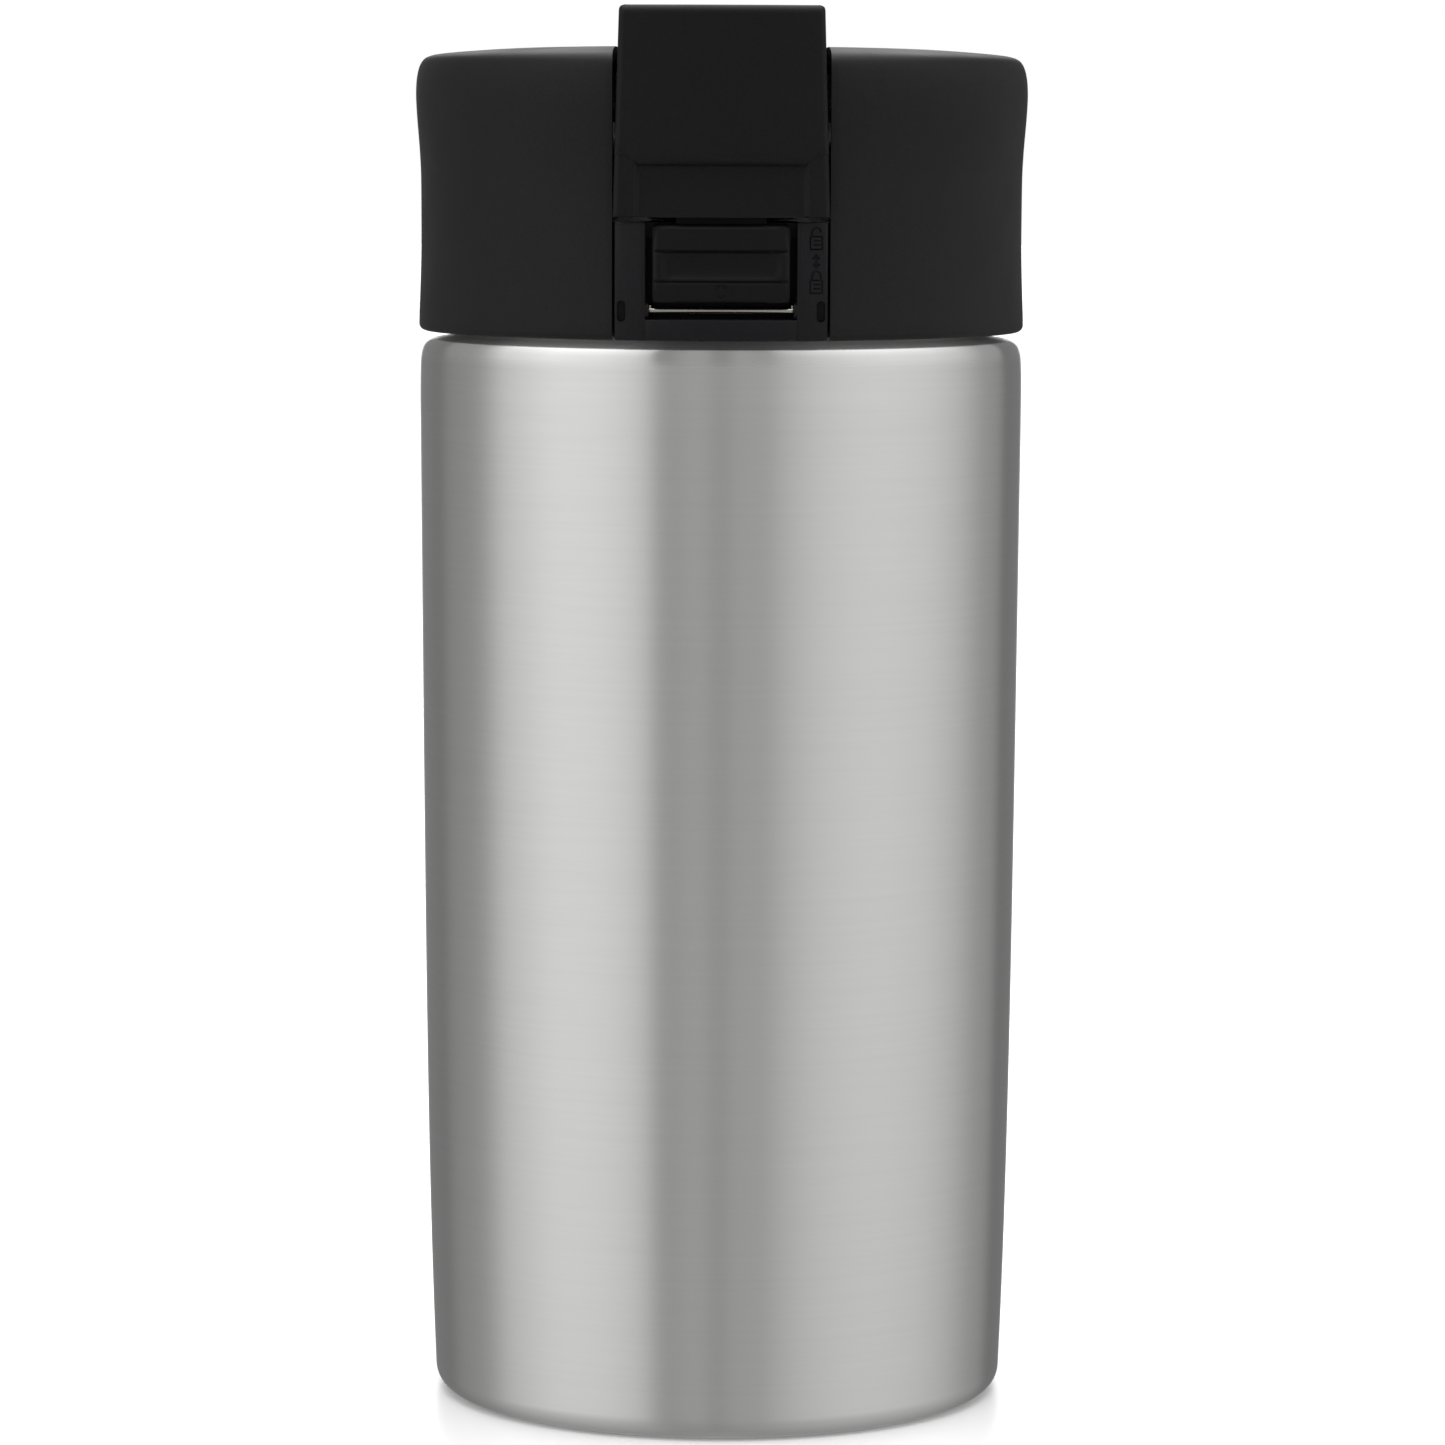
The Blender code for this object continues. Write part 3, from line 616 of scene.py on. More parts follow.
def brush_over(piece: Piece, low: float, high: float) -> Piece:
    """Level the outer shading normals between two heights, as brushing run over an edge does.

    Args:
        piece: A piece turned about the Z axis.
        low: Height where the levelling begins.
        high: Height where it ends.

    Returns:
        The piece.
    """
    mesh = piece.data
    normals = []
    for loop in mesh.loops:
        normal = mesh.corner_normals[loop.index].vector.copy()
        place = mesh.vertices[loop.vertex_index].co
        outward = normal.x * place.x + normal.y * place.y > -1e-4
        if low * MM < place.z < high * MM and outward:
            normal.z *= LEVELLING
            normal.normalize()
        normals.append(normal)
    mesh.normals_split_custom_set(normals)
    return piece


# ------------------------------------------------------------------ thread

@dataclass
class Thread:
    """The two-start right-hand thread that joins the lid to the neck."""

    lead: float = 8.0
    starts: int = 2
    width: float = 1.3
    per_turn: int = 72
    fade: int = 6

    def rib(self, name: str, root: float, tip: float, start: float, low: float, high: float,
            offset: float) -> Piece:
        """Sweep one rib of the thread along its helix.

        Args:
            name: The object's name.
            root: Radius where the rib is sunk into its wall.
            tip: Radius of its crest.
            start: The rib's start, as a part of a turn.
            low: Lowest height of its centre line.
            high: Highest height of its centre line.
            offset: Height of the centre line at no turn.

        Returns:
            The closed rib, faded out at both ends.
        """
        first = math.ceil((low - offset) / self.lead * self.per_turn)
        last = math.floor((high - offset) / self.lead * self.per_turn)
        half = self.width / 2.0
        shape = ((0.0, -half), (0.7, -half * 0.62), (1.0, -half * 0.3), (1.0, half * 0.3),
                 (0.7, half * 0.62), (0.0, half))
        count = last - first
        piece = section(name, [self.point(root, tip, start, offset, first, u, lift, 0.0)
                               for u, lift in shape])
        edit_all(piece)
        bpy.ops.mesh.edge_face_add()
        for _ in range(count):
            bpy.ops.mesh.extrude_region_move(TRANSFORM_OT_translate={"value": (0.0, 0.0, MM)})
        leave()
        for index, vertex in enumerate(piece.data.vertices):
            step, corner = divmod(index, len(shape))
            grown = min(1.0, step / self.fade, (count - step) / self.fade)
            u, lift = shape[corner]
            spot = self.point(root, tip, start, offset, first + step, u, lift, grown)
            vertex.co = Vector(spot) * MM
        close_up(piece)
        return piece

    def point(self, root: float, tip: float, start: float, offset: float, step: int, u: float,
              lift: float, grown: float) -> Point3:
        """Return a corner of the rib's section at a step along the helix."""
        turn = step / self.per_turn
        angle = 2.0 * math.pi * (turn + start)
        radius = root + (tip - root) * u * (0.3 + 0.7 * grown)
        return (radius * math.cos(angle), radius * math.sin(angle), offset + self.lead * turn + lift)


# ------------------------------------------------------------------ flask

@dataclass
class Flask:
    """The double steel wall: outer shell, cup, base plate and the parts under it."""

    foot_radius: float = 33.0
    foot_corner: float = 2.6
    body_radius: float = 34.73
    taper: float = 0.95
    foot_pinch: float = 0.78
    widest_z: float = 115.4
    shoulder_z: float = 122.45
    neck_radius: float = 29.3
    neck_top: float = 133.0
    wall: float = 0.5
    flange_bore: float = 28.0
    liner_radius: float = 31.5
    liner_neck: float = 28.3
    floor_z: float = 6.6
    corner: float = 8.0
    lip_radius: float = 29.3
    lip_top: float = 134.2
    brushed_over: Point2 = (118.0, 123.2)
    rib_root: float = 0.25
    rib_crest: float = 30.2
    rib_span: Point2 = (124.8, 130.6)

    def wall_radius(self, z: float) -> float:
        """Return the outer wall's radius: a slight taper and a pinch at the foot."""
        down = (self.widest_z - z) / (self.widest_z - self.foot_corner)
        return self.body_radius - self.taper * down - self.foot_pinch * down ** 5

    def outer_shell(self, thread: Thread) -> Piece:
        """Model the outer wall with its rolled foot, soft shoulder and threaded neck."""
        top = self.shoulder_z
        heights = stations((self.foot_corner + 1.5, 20.0, 8), (20.0, self.widest_z, 24))
        outer = [(self.flange_bore, 0.0), (self.flange_bore + 0.6, 0.0)]
        outer += arc((self.foot_radius - self.foot_corner, self.foot_corner), self.foot_corner, -90, 0, 12)
        outer += [(self.wall_radius(z), z) for z in heights]
        outer += flowing([(34.735, 116.6), (34.7, 119.2), (34.6, 120.7), (34.44, 121.4), (34.22, 121.85),
                          (33.85, 122.2), (33.3, top), (32.0, top + 0.22), (30.6, top + 0.55),
                          (29.8, top + 1.0), (self.neck_radius, top + 1.9)], 4)
        outer += [(self.neck_radius, self.neck_top)]
        bore = self.neck_radius - self.wall
        inner = [(bore, self.neck_top), (bore, top + 0.4), (29.7, top - self.wall), (33.0, 121.7),
                 (34.0, 120.0)]
        inner += [(self.wall_radius(z) - self.wall, z) for z in reversed(heights[::4])]
        inner += [(self.foot_radius - self.wall, self.foot_corner),
                  (self.foot_radius - self.foot_corner, self.wall), (self.flange_bore, self.wall)]
        shell = spun("outer_shell", outer + inner)
        low, high = self.rib_span
        ribs = [thread.rib(f"neck_rib_{n}", self.neck_radius - self.rib_root, self.rib_crest,
                           n / thread.starts, low, high, low) for n in range(thread.starts)]
        carve(shell, ribs, "UNION")
        return brush_over(dress(shell, BODY_STEEL, Body.FLASK, "outer_shell"), *self.brushed_over)

    def inner_liner(self) -> Piece:
        """Model the cup: rounded floor, straight wall, drawn neck and rolled lip."""
        inside = self.liner_radius - self.wall
        neck = self.liner_neck - self.wall
        turn = inside - self.corner
        low = self.floor_z + self.corner
        top = self.lip_top
        cup = [(0.0, self.floor_z + self.wall + 0.4), (12.0, self.floor_z + self.wall + 0.25)]
        cup += arc((turn, low + self.wall), self.corner, -90, 0, 12)
        cup += flowing([(inside, 60.0), (inside, 111.0), (30.6, 115.5), (29.1, 118.6), (28.1, 120.4),
                        (neck, 122.0)], 5)
        cup += [(neck, top - 0.5)] + arc((neck + 0.5, top - 0.5), 0.5, 180, 90, 4)
        cup += arc((self.lip_radius - 0.45, top - 0.45), 0.45, 90, 0, 4)
        cup += [(self.lip_radius, self.neck_top + 0.3), (self.liner_neck, self.neck_top + 0.3)]
        cup += [(self.liner_neck, 122.1), (28.7, 120.2), (31.2, 115.4), (self.liner_radius, 111.0)]
        cup += arc((turn, low), self.corner + self.wall, 0, -90, 8)[:-1]
        cup += [(turn, self.floor_z), (0.0, self.floor_z)]
        liner = spun("inner_liner", cup, steps=160)
        return dress(liner, CUP_STEEL, Body.FLASK, "inner_liner")

    def base_plate(self) -> Piece:
        """Model the bottom disc: rolled rim, shallow step ring and the centre dimple."""
        under = [(0.0, 2.0), (5.8, 2.0), (6.5, 1.85), (7.1, 1.2), (7.7, 0.95), (18.0, 0.95),
                 (18.5, 1.1), (19.6, 1.1), (20.1, 0.95), (26.6, 0.95), (27.2, 1.05), (27.6, 1.35)]
        over = [(27.6, 1.75), (7.9, 1.75), (6.8, 2.7), (0.0, 2.7)]
        plate = spun("base_plate", under + over, steps=160)
        return dress(plate, BODY_STEEL, Body.FLASK, "base_plate")

    def vacuum_seal(self) -> Piece:
        """Model the solidified bead that closes the pump-out hole."""
        bead = [(0.0, 0.72)] + arc((1.4, 2.1), 1.4, -90, -10, 8) + [(2.78, 1.9), (0.0, 1.9)]
        seal = spun("vacuum_seal", bead, steps=SMALL_ROUND)
        return dress(seal, PIN_STEEL, Body.FLASK, "vacuum_seal")


# ------------------------------------------------------------------ lid casing

@dataclass
class Collar:
    """The lid's outer casing: waisted wall, domed deck and the slot for the flip cap."""

    bottom: float = 123.45
    slot_half: float = 12.0
    rear_slot_z: float = 145.2
    bore: float = 33.0
    edge: float = 0.28
    slot_column: int = 13

    def outline(self) -> list[Point2]:
        """Return the wall's closed section, from the bottom edge over the deck and back."""
        low = self.bottom
        wall = [(33.2, low + 0.02)] + arc((34.1, low + 0.75), 0.75, 270, 360, 6)
        wall += flowing([(34.82, 125.6), (34.77, 126.8), (34.67, 129.6), (34.59, 133.2),
                         (34.59, 136.5), (34.62, 141.0), (34.73, 143.5), (34.85, 145.2),
                         (35.04, 147.5), (35.15, 149.2), (35.19, 150.5), (35.14, 151.8),
                         (35.02, 152.7), (34.82, 153.5), (34.5, 154.15), (34.1, 154.55),
                         (33.5, 154.82), (32.4, 155.05), (29.3, 155.35), (24.0, 155.7),
                         (18.0, 155.88), (self.slot_half + 0.01, 155.95)], 3)
        inner = [(self.slot_half + 0.01, 154.35), (24.0, 154.1), (32.2, 153.5), (33.2, 152.4),
                 (33.35, 149.5), (33.25, self.rear_slot_z), (self.bore, 141.0), (self.bore, low + 0.25)]
        return wall + inner

    def casing(self) -> Piece:
        """Spin the section, line its columns up with the slot, open the slot and close its sides."""
        casing = spun("lid_collar", self.outline())
        self.align(casing)
        self.open_slot(casing)
        return dress(casing, CASING, Body.LID, "lid_collar")

    def align(self, casing: Piece) -> None:
        """Turn each ring's columns so that one stands exactly on each side of the slot."""
        fixed = 2.0 * math.pi * self.slot_column / ROUND
        for vertex in casing.data.vertices:
            x, y, z = (value / MM for value in vertex.co)
            radius = math.hypot(x, y)
            edge = math.asin(min(1.0, self.slot_half / radius))
            angle = math.atan2(abs(x), -y)
            if angle <= fixed:
                angle *= edge / fixed
            elif angle >= math.pi - fixed:
                angle = math.pi - (math.pi - angle) * edge / fixed
            else:
                share = (angle - fixed) / (math.pi - 2.0 * fixed)
                angle = edge + share * (math.pi - 2.0 * edge)
            side = math.copysign(1.0, x)
            vertex.co = Vector((side * radius * math.sin(angle), -radius * math.cos(angle), z)) * MM

    def in_slot(self, centre: Vector) -> bool:
        """Whether a face with that centre, in millimetres, lies in the slot."""
        if abs(centre.x) >= self.slot_half - 1e-3:
            return False
        return centre.y < 0.0 or centre.z > self.rear_slot_z

    def open_slot(self, casing: Piece) -> None:
        """Delete the slot's faces, close its planar sides and the sill, and round its edges."""
        close_up(casing)
        mesh = casing.data
        deselect(mesh)
        for face in mesh.polygons:
            face.select = self.in_slot(face.center / MM)
        edit(casing, FACES)
        bpy.ops.mesh.delete(type="FACE")
        leave()
        self.bridge_sill(casing)
        edit_all(casing)
        bpy.ops.mesh.fill_holes(sides=0)
        leave()
        close_up(casing)
        self.round_edges(casing)

    def bridge_sill(self, casing: Piece) -> None:
        """Join the outer and inner wall along the bottom of the rear slot."""
        mesh = casing.data
        faces_at: dict[tuple[int, int], int] = {}
        for face in mesh.polygons:
            for key in face.edge_keys:
                faces_at[key] = faces_at.get(key, 0) + 1
        deselect(mesh)
        for edge in mesh.edges:
            ends = [mesh.vertices[i].co / MM for i in edge.vertices]
            level = all(abs(end.z - self.rear_slot_z) < 0.35 and end.y > 0.0 for end in ends)
            within = all(abs(end.x) < self.slot_half + 0.02 for end in ends)
            flat = abs(ends[0].z - ends[1].z) < 1e-3
            edge.select = level and within and flat and faces_at.get(edge.key, 0) == 1
        edit(casing, EDGES)
        bpy.ops.mesh.bridge_edge_loops()
        leave()

    def round_edges(self, casing: Piece) -> None:
        """Bevel the edges between the slot's flat sides and the wall."""
        mesh = casing.data
        deselect(mesh)
        flat: dict[tuple[int, int], list[Vector]] = {}
        for face in mesh.polygons:
            for key in face.edge_keys:
                flat.setdefault(key, []).append(face.normal.copy())
        for edge in mesh.edges:
            normals = flat.get(edge.key, [])
            if len(normals) == 2 and normals[0].angle(normals[1], 0.0) > math.radians(50.0):
                edge.select = True
        edit(casing, EDGES)
        bpy.ops.mesh.bevel(offset=self.edge * MM, segments=3, affect="EDGES", clamp_overlap=True)
        leave()
        close_up(casing)


@dataclass
class Core:
    """The lid's inner moulding and the parts fixed to it."""

    skirt_bore: float = 30.6
    skirt_radius: float = 31.9
    skirt_bottom: float = 123.75
    floor_z: float = 134.8
    floor_top: float = 136.4
    floor_radius: float = 32.5
    plug_radius: float = 25.3
    plug_bore: float = 24.0
    plug_bottom: float = 128.0
    flange_radius: float = 27.2
    tray_z: float = 147.4
    tray_top: float = 149.0
    tray_half: float = 13.6
    tray_inner: float = 12.2
    hinge: Point2 = (32.0, 150.0)
    vent_y: float = -10.0
    vent_bore: float = 1.3

    def core(self, thread: Thread) -> Piece:
        """Model the threaded skirt, plug, floor, cap channel and hinge lug."""
        body = [(self.skirt_bore, self.skirt_bottom + 0.3), (self.skirt_bore + 0.3, self.skirt_bottom),
                (self.skirt_radius - 0.3, self.skirt_bottom),
                (self.skirt_radius, self.skirt_bottom + 0.3),
                (self.skirt_radius, self.floor_z), (self.floor_radius, self.floor_z),
                (self.floor_radius, self.floor_top), (0.0, self.floor_top), (0.0, self.floor_z),
                (self.plug_bore, self.floor_z), (self.plug_bore, self.plug_bottom + 0.2),
                (self.plug_bore + 0.2, self.plug_bottom), (self.flange_radius - 0.3, self.plug_bottom),
                (self.flange_radius, self.plug_bottom + 0.3),
                (self.flange_radius, self.plug_bottom + 0.6),
                (self.flange_radius - 0.2, self.plug_bottom + 0.8),
                (self.plug_radius, self.plug_bottom + 0.8),
                (self.plug_radius, self.floor_z - 0.4), (self.plug_radius + 0.4, self.floor_z),
                (self.skirt_bore - 0.4, self.floor_z), (self.skirt_bore, self.floor_z - 0.4)]
        core = spun("lid_core", body, steps=160)
        inner = self.tray_inner
        added = [thread.rib(f"skirt_rib_{n}", self.skirt_bore + 0.25, 29.7, n / thread.starts,
                            125.0, 131.2, 126.8) for n in range(thread.starts)]
        added.append(block("channel", (-self.tray_half, -29.3, self.floor_top - 0.4),
                           (self.tray_half, 29.3, 153.0)))
        carve(core, added, "UNION")
        carve(core, [block("hollow", (-inner, -31.0, self.tray_top), (inner, 31.0, 160.0)),
                     block("room", (-inner, -31.0, self.floor_top), (inner, 31.0, self.tray_z)),
                     block("rear", (-inner, 27.0, self.floor_top), (inner, 31.0, 160.0)),
                     block("mouth", (-9.1, -31.0, 140.0), (9.1, -15.9, 160.0))])
        y, z = self.hinge
        vent = (0.0, self.vent_y)
        carve(core, [block("chimney", (-7.7, -23.2, 129.7), (7.7, -16.4, self.floor_z + 0.5)),
                     post("vent", 2.6, self.floor_top - 0.5, self.tray_z + 0.5, vent),
                     post("low_vent", 2.6, 129.7, self.floor_z + 0.5, vent),
                     block("leg", (-8.4, 27.5, self.floor_top - 0.4), (8.4, 31.0, z)),
                     crossrod("lug", 3.6, 8.4, self.hinge)], "UNION")
        carve(core, [block("passage", (-6.5, -22.5, 125.0), (6.5, -17.5, 140.0)),
                     post("vent_bore", self.vent_bore, 125.0, 152.0, vent),
                     crossrod("bore", 1.3, 20.0, self.hinge),
                     crossrod("spring_room", 3.75, 3.0, self.hinge),
                     block("spring_slot", (-3.0, 26.0, 146.3), (3.0, y, 160.0)),
                     block("latch_room", (-9.6, -45.0, 120.0), (9.6, -31.1, 142.0))])
        return dress(core, INNER_PLASTIC, Body.LID, "lid_core")

    def base(self) -> Piece:
        """Model the cover under the insulation space, with its two openings."""
        disc = [(0.0, 128.2), (22.9, 128.2), (23.4, 128.35), (23.6, 128.8), (23.6, 129.4), (0.0, 129.4)]
        cover = spun("lid_base", disc, steps=160)
        passage = soften(block("passage", (-6.5, -22.5, 125.0), (6.5, -17.5, 131.0)), 1.2, 4)
        vent = post("vent", self.vent_bore, 125.0, 131.0, (0.0, self.vent_y))
        carve(cover, [passage, vent])
        return dress(cover, INNER_PLASTIC, Body.LID, "lid_base")

    def mouthpiece(self) -> Piece:
        """Model the drinking spout: a rounded block leaning forward, with a soft rim."""
        side = [(-26.2, 136.7), (-16.3, 136.7), (-16.3, 153.5), (-31.3, 153.5), (-31.3, 145.6),
                (-26.2, 142.6)]
        spout = slab("mouthpiece", side, Axis.X, -8.7, 8.7)
        soften(spout, 0.9, 5)
        bore = block("bore", (-6.5, -22.5, 130.0), (6.5, -17.5, 148.0))
        mouth = soften(block("mouth", (-7.2, -29.8, 147.0), (7.2, -17.5, 160.0)), 1.6, 6)
        carve(spout, [bore, mouth])
        soften(spout, 0.35, 3, 50.0)
        return dress(spout, INNER_PLASTIC, Body.LID, "mouthpiece")

    def hinge_pin(self) -> Piece:
        """Model the steel pin that the flip cap turns on."""
        pin = soften(crossrod("hinge_pin", 1.0, 11.2, self.hinge), 0.2)
        return dress(pin, PIN_STEEL, Body.LID, "hinge_pin")

    def cap_spring(self) -> Piece:
        """Wind the torsion spring round the hinge pin, with a leg at each end."""
        y, z = self.hinge
        turns, per_turn, radius = 5.5, 24, 1.75
        steps = int(turns * per_turn)
        points = [(-2.5, 26.0, 153.1)]
        for step in range(steps + 1):
            angle = 0.6 * math.pi - 2.0 * math.pi * step / per_turn
            x = -2.5 + 5.0 * step / steps
            points.append((x, y + radius * math.cos(angle), z + radius * math.sin(angle)))
        points.append((2.5, 26.0, 147.0))
        spring = wire("cap_spring", points, 0.25)
        return dress(spring, SPRING_STEEL, Body.LID, "cap_spring")


@dataclass
class Gasket:
    """The silicone ring that seals the plug against the neck."""

    inner: float = 25.6
    outer: float = 27.4
    bottom: float = 129.1
    top: float = 132.0

    def ring(self) -> Piece:
        """Model the ring with two soft sealing lips."""
        lip = self.outer
        shape = [(self.inner, self.bottom + 0.2), (self.inner + 0.2, self.bottom)]
        shape += flowing([(26.5, self.bottom), (27.0, 129.35), (lip, 129.85), (27.0, 130.3),
                          (26.85, 130.6), (27.0, 130.9), (lip, 131.3), (27.0, 131.7),
                          (26.5, self.top)], 4)
        shape += [(self.inner + 0.2, self.top), (self.inner, self.top - 0.2)]
        ring = spun("lid_gasket", shape, steps=160)
        return dress(ring, SEAL_RUBBER, Body.GASKET, "lid_gasket")


# ------------------------------------------------------------------ latch

@dataclass
class Latch:
    """The latch at the front: frame, pin, rocker, return spring and sliding thumb piece."""

    pin: Point2 = (-32.75, 126.75)
    frame_half: float = 11.75
    frame_bottom: float = 123.5
    frame_top: float = 136.5
    front_y: float = -34.95
    front_radius: float = 34.2
    back_radius: float = 32.85
    window_half: float = 8.3
    sill_top: float = 125.8
    cheek_round: float = 0.5
    thumb_half: float = 7.55
    thumb_bottom: float = 127.7
    thumb_top: float = 136.1
    thumb_back: float = -33.9
    thumb_front: float = -34.75
    ridges: Point2 = (130.1, 133.4)
    mark_x: float = 10.45
    pin_radius: float = 0.33
    pin_reach: float = 7.85
    boss_radius: float = 1.0
    boss_inner: float = 8.0
    slot_x: float = 11.0
    slot_ends: Point2 = (126.0, 127.4)
    slot_radius: float = 0.48
    scoop: float = 0.6
    groove_depth: float = 0.3
    thumb_rim: float = 0.12

    def face_y(self, x: float) -> float:
        """Return the frame's front surface at x."""
        return self.front_y + self.front_radius - math.sqrt(self.front_radius ** 2 - x * x)

    def back_y(self, x: float) -> float:
        """Return the frame's back surface at x."""
        return -math.sqrt(self.back_radius ** 2 - x * x)

    def cheek(self, side: float) -> Piece:
        """Model one cheek: its inner corner is rounded over towards the window."""
        outline = [(side * x, self.face_y(x) + roundover(x - self.window_half, self.cheek_round))
                   for x in stations((self.window_half, self.window_half + self.cheek_round, 10),
                                     (self.window_half + self.cheek_round, self.frame_half - 0.25, 4))]
        edge_x = self.frame_half
        outline += [(side * (edge_x - 0.08), self.face_y(edge_x) + 0.04),
                    (side * edge_x, self.face_y(edge_x) + 0.25)]
        outline += [(side * x, self.back_y(x)) for x in (self.frame_half, 10.0, self.window_half)]
        name = "cheek_left" if side < 0.0 else "cheek_right"
        return slab(name, outline, Axis.Z, self.frame_bottom, self.frame_top)

    def sill(self) -> Piece:
        """Model the bar under the window, a little behind the cheeks."""
        half = self.window_half + 0.2
        xs = stations((-half, half, 16))
        outline = [(x, self.face_y(x) + 0.14) for x in xs]
        outline += [(x, self.back_y(x)) for x in reversed(xs)]
        sill = slab("sill", outline, Axis.Z, self.frame_bottom + 0.04, self.sill_top)
        return soften(sill, 0.2, 3, 50.0)

    def frame(self) -> Piece:
        """Join the cheeks and the sill, bore them for the pin and sink the slots and marks."""
        whole = self.cheek(-1.0)
        soften(whole, 0.22, 3, 60.0)
        right = soften(self.cheek(1.0), 0.22, 3, 60.0)
        carve(whole, [right, self.sill()], "UNION")
        ring = arc(self.pin, self.boss_radius, 0, 345, 23)
        bosses = []
        tools = [crossrod("bore", 0.5, 9.05, self.pin)]
        low, high = self.slot_ends
        for n, side in enumerate((-1.0, 1.0)):
            start, end = sorted((side * self.boss_inner, side * (self.window_half + 0.2)))
            bosses.append(slab(f"boss_{n}", ring, Axis.X, start, end))
            top = arc((side * self.slot_x, high), self.slot_radius, 0, 180, 10)
            bottom = arc((side * self.slot_x, low), self.slot_radius, 180, 360, 10)
            tools.append(slab(f"slot_{n}", top + bottom, Axis.Y, -45.0, -32.4))
        carve(whole, bosses, "UNION")
        tools += self.marks()
        carve(whole, tools)
        return dress(whole, TRIM, Body.LID, "latch_frame")

    def mark(self, name: str, points: Sequence[Point2], closed: bool) -> Piece:
        """Make a cutter for one engraved line of (x, z) points on the right cheek."""
        track = [(x, self.face_y(x) + 0.02, z) for x, z in points]
        return wire(name, track, 0.15, 1, closed)

    def padlock(self, name: str, low: float, is_open: bool) -> list[Piece]:
        """Make the cutters for a small padlock.

        Args:
            name: Start of the cutters' names.
            low: Height of the mark's lower end.
            is_open: Whether one leg of the shackle is free.

        Returns:
            The cutters for the body, its two lines and the shackle.
        """
        half, top = 0.66, low + 1.4
        left, right = self.mark_x - half, self.mark_x + half
        body = [(left, low), (right, low), (right, top), (left, top)]
        bars = [[(left + 0.35, low + rise), (right, low + rise)] for rise in (0.47, 0.93)]
        bend = arc((self.mark_x, top + 0.45), 0.5, 180, 0, 6)
        shackle = [(bend[0][0], top), *bend]
        if not is_open:
            shackle.append((bend[-1][0], top))
        lines = [self.mark(f"{name}_bar_{n}", bar, False) for n, bar in enumerate(bars)]
        return [self.mark(f"{name}_body", body, True), self.mark(f"{name}_shackle", shackle, False),
                *lines]

    def marks(self) -> list[Piece]:
        """Make the cutters for the generic lock marks: open, arrow and closed."""
        middle = self.mark_x
        arrow = [(middle, 131.6), (middle, 132.9)]
        heads = [[(middle - 0.35, 132.5), (middle, 133.0), (middle + 0.35, 132.5)],
                 [(middle - 0.35, 132.0), (middle, 131.5), (middle + 0.35, 132.0)]]
        cutters = self.padlock("open", 133.55, True) + self.padlock("shut", 128.75, False)
        cutters.append(self.mark("arrow", arrow, False))
        cutters += [self.mark(f"head_{n}", head, False) for n, head in enumerate(heads)]
        return cutters

    def latch_pin(self) -> Piece:
        """Model the steel pin under the thumb piece, with a staked ear near each end."""
        pin = soften(crossrod("latch_pin", self.pin_radius, 8.8, self.pin), 0.1)
        y, z = self.pin
        ears = [wire(f"ear_{n}", [(x, y, z), (x, y - 0.12, z + 0.62)], 0.16)
                for n, x in enumerate((-self.pin_reach, self.pin_reach))]
        carve(pin, ears, "UNION")
        return dress(pin, PIN_STEEL, Body.LID, "latch_pin")

    def thumb_y(self, x: float, z: float) -> float:
        """Return the thumb piece's front at (x, z): three facets, the middle one scooped."""
        low, high = self.ridges
        y = self.thumb_front + 0.55 * (x / self.thumb_half) ** 2
        y += roundover(self.thumb_half - abs(x), 0.55) + roundover(z - self.thumb_bottom, 0.35)
        y += roundover(self.thumb_top - z, 0.5)
        if z > high:
            y += 0.22 * ease(z, high, self.thumb_top)
        elif z < low:
            y += 0.05 + 0.25 * ease(low - z, 0.0, low - self.thumb_bottom)
        else:
            t = (z - low) / (high - low)
            ends = ease(self.thumb_half - 0.55 - abs(x), 0.0, 1.5)
            y += self.scoop * math.sin(math.pi * t) ** 0.6 * ends
        for ridge in self.ridges:
            groove = math.exp(-((z - ridge + 0.12) / 0.15) ** 2)
            y += self.groove_depth * groove * ease(self.thumb_half - abs(x), 0.15, 0.45)
        return min(self.thumb_back - self.thumb_rim, y)

    def thumb_piece(self) -> Piece:
        """Model the ridged thumb piece, its key and the two small arrow marks cut into it."""
        xs = stations((-1.0, -0.9, 8), (-0.9, -0.6, 8), (-0.6, 0.6, 20), (0.6, 0.9, 8), (0.9, 1.0, 8))
        low, high = self.ridges
        base, top = self.thumb_bottom, self.thumb_top
        zs = stations((base, base + 0.4, 6), (base + 0.4, low - 0.4, 6), (low - 0.4, low + 0.3, 14),
                      (low + 0.3, high - 0.4, 20), (high - 0.4, high + 0.3, 14),
                      (high + 0.3, top - 0.5, 8), (top - 0.5, top, 7))

        def half(z: float) -> float:
            """Round the thumb piece's four corners."""
            near = min(z - self.thumb_bottom, self.thumb_top - z)
            return self.thumb_half - roundover(near, 0.8)

        thumb = relief("lock_slider", xs, zs, half, self.thumb_y, self.thumb_back)
        chevrons = [[(-0.6, 129.2), (0.0, 129.65), (0.6, 129.2)],
                    [(-0.45, 128.5), (0.0, 128.15), (0.45, 128.5)]]
        tracks = [[(x, self.thumb_y(x, z) - 0.02, z) for x, z in points] for points in chevrons]
        carve(thumb, [wire(f"chevron_{n}", track, 0.12, 2) for n, track in enumerate(tracks)])
        key = block("key", (-2.5, self.thumb_back - 0.05, 130.3), (2.5, -32.4, 132.5))
        carve(thumb, [key], "UNION")
        return dress(thumb, SLIDE_PLASTIC, Body.LOCK, "lock_slider")

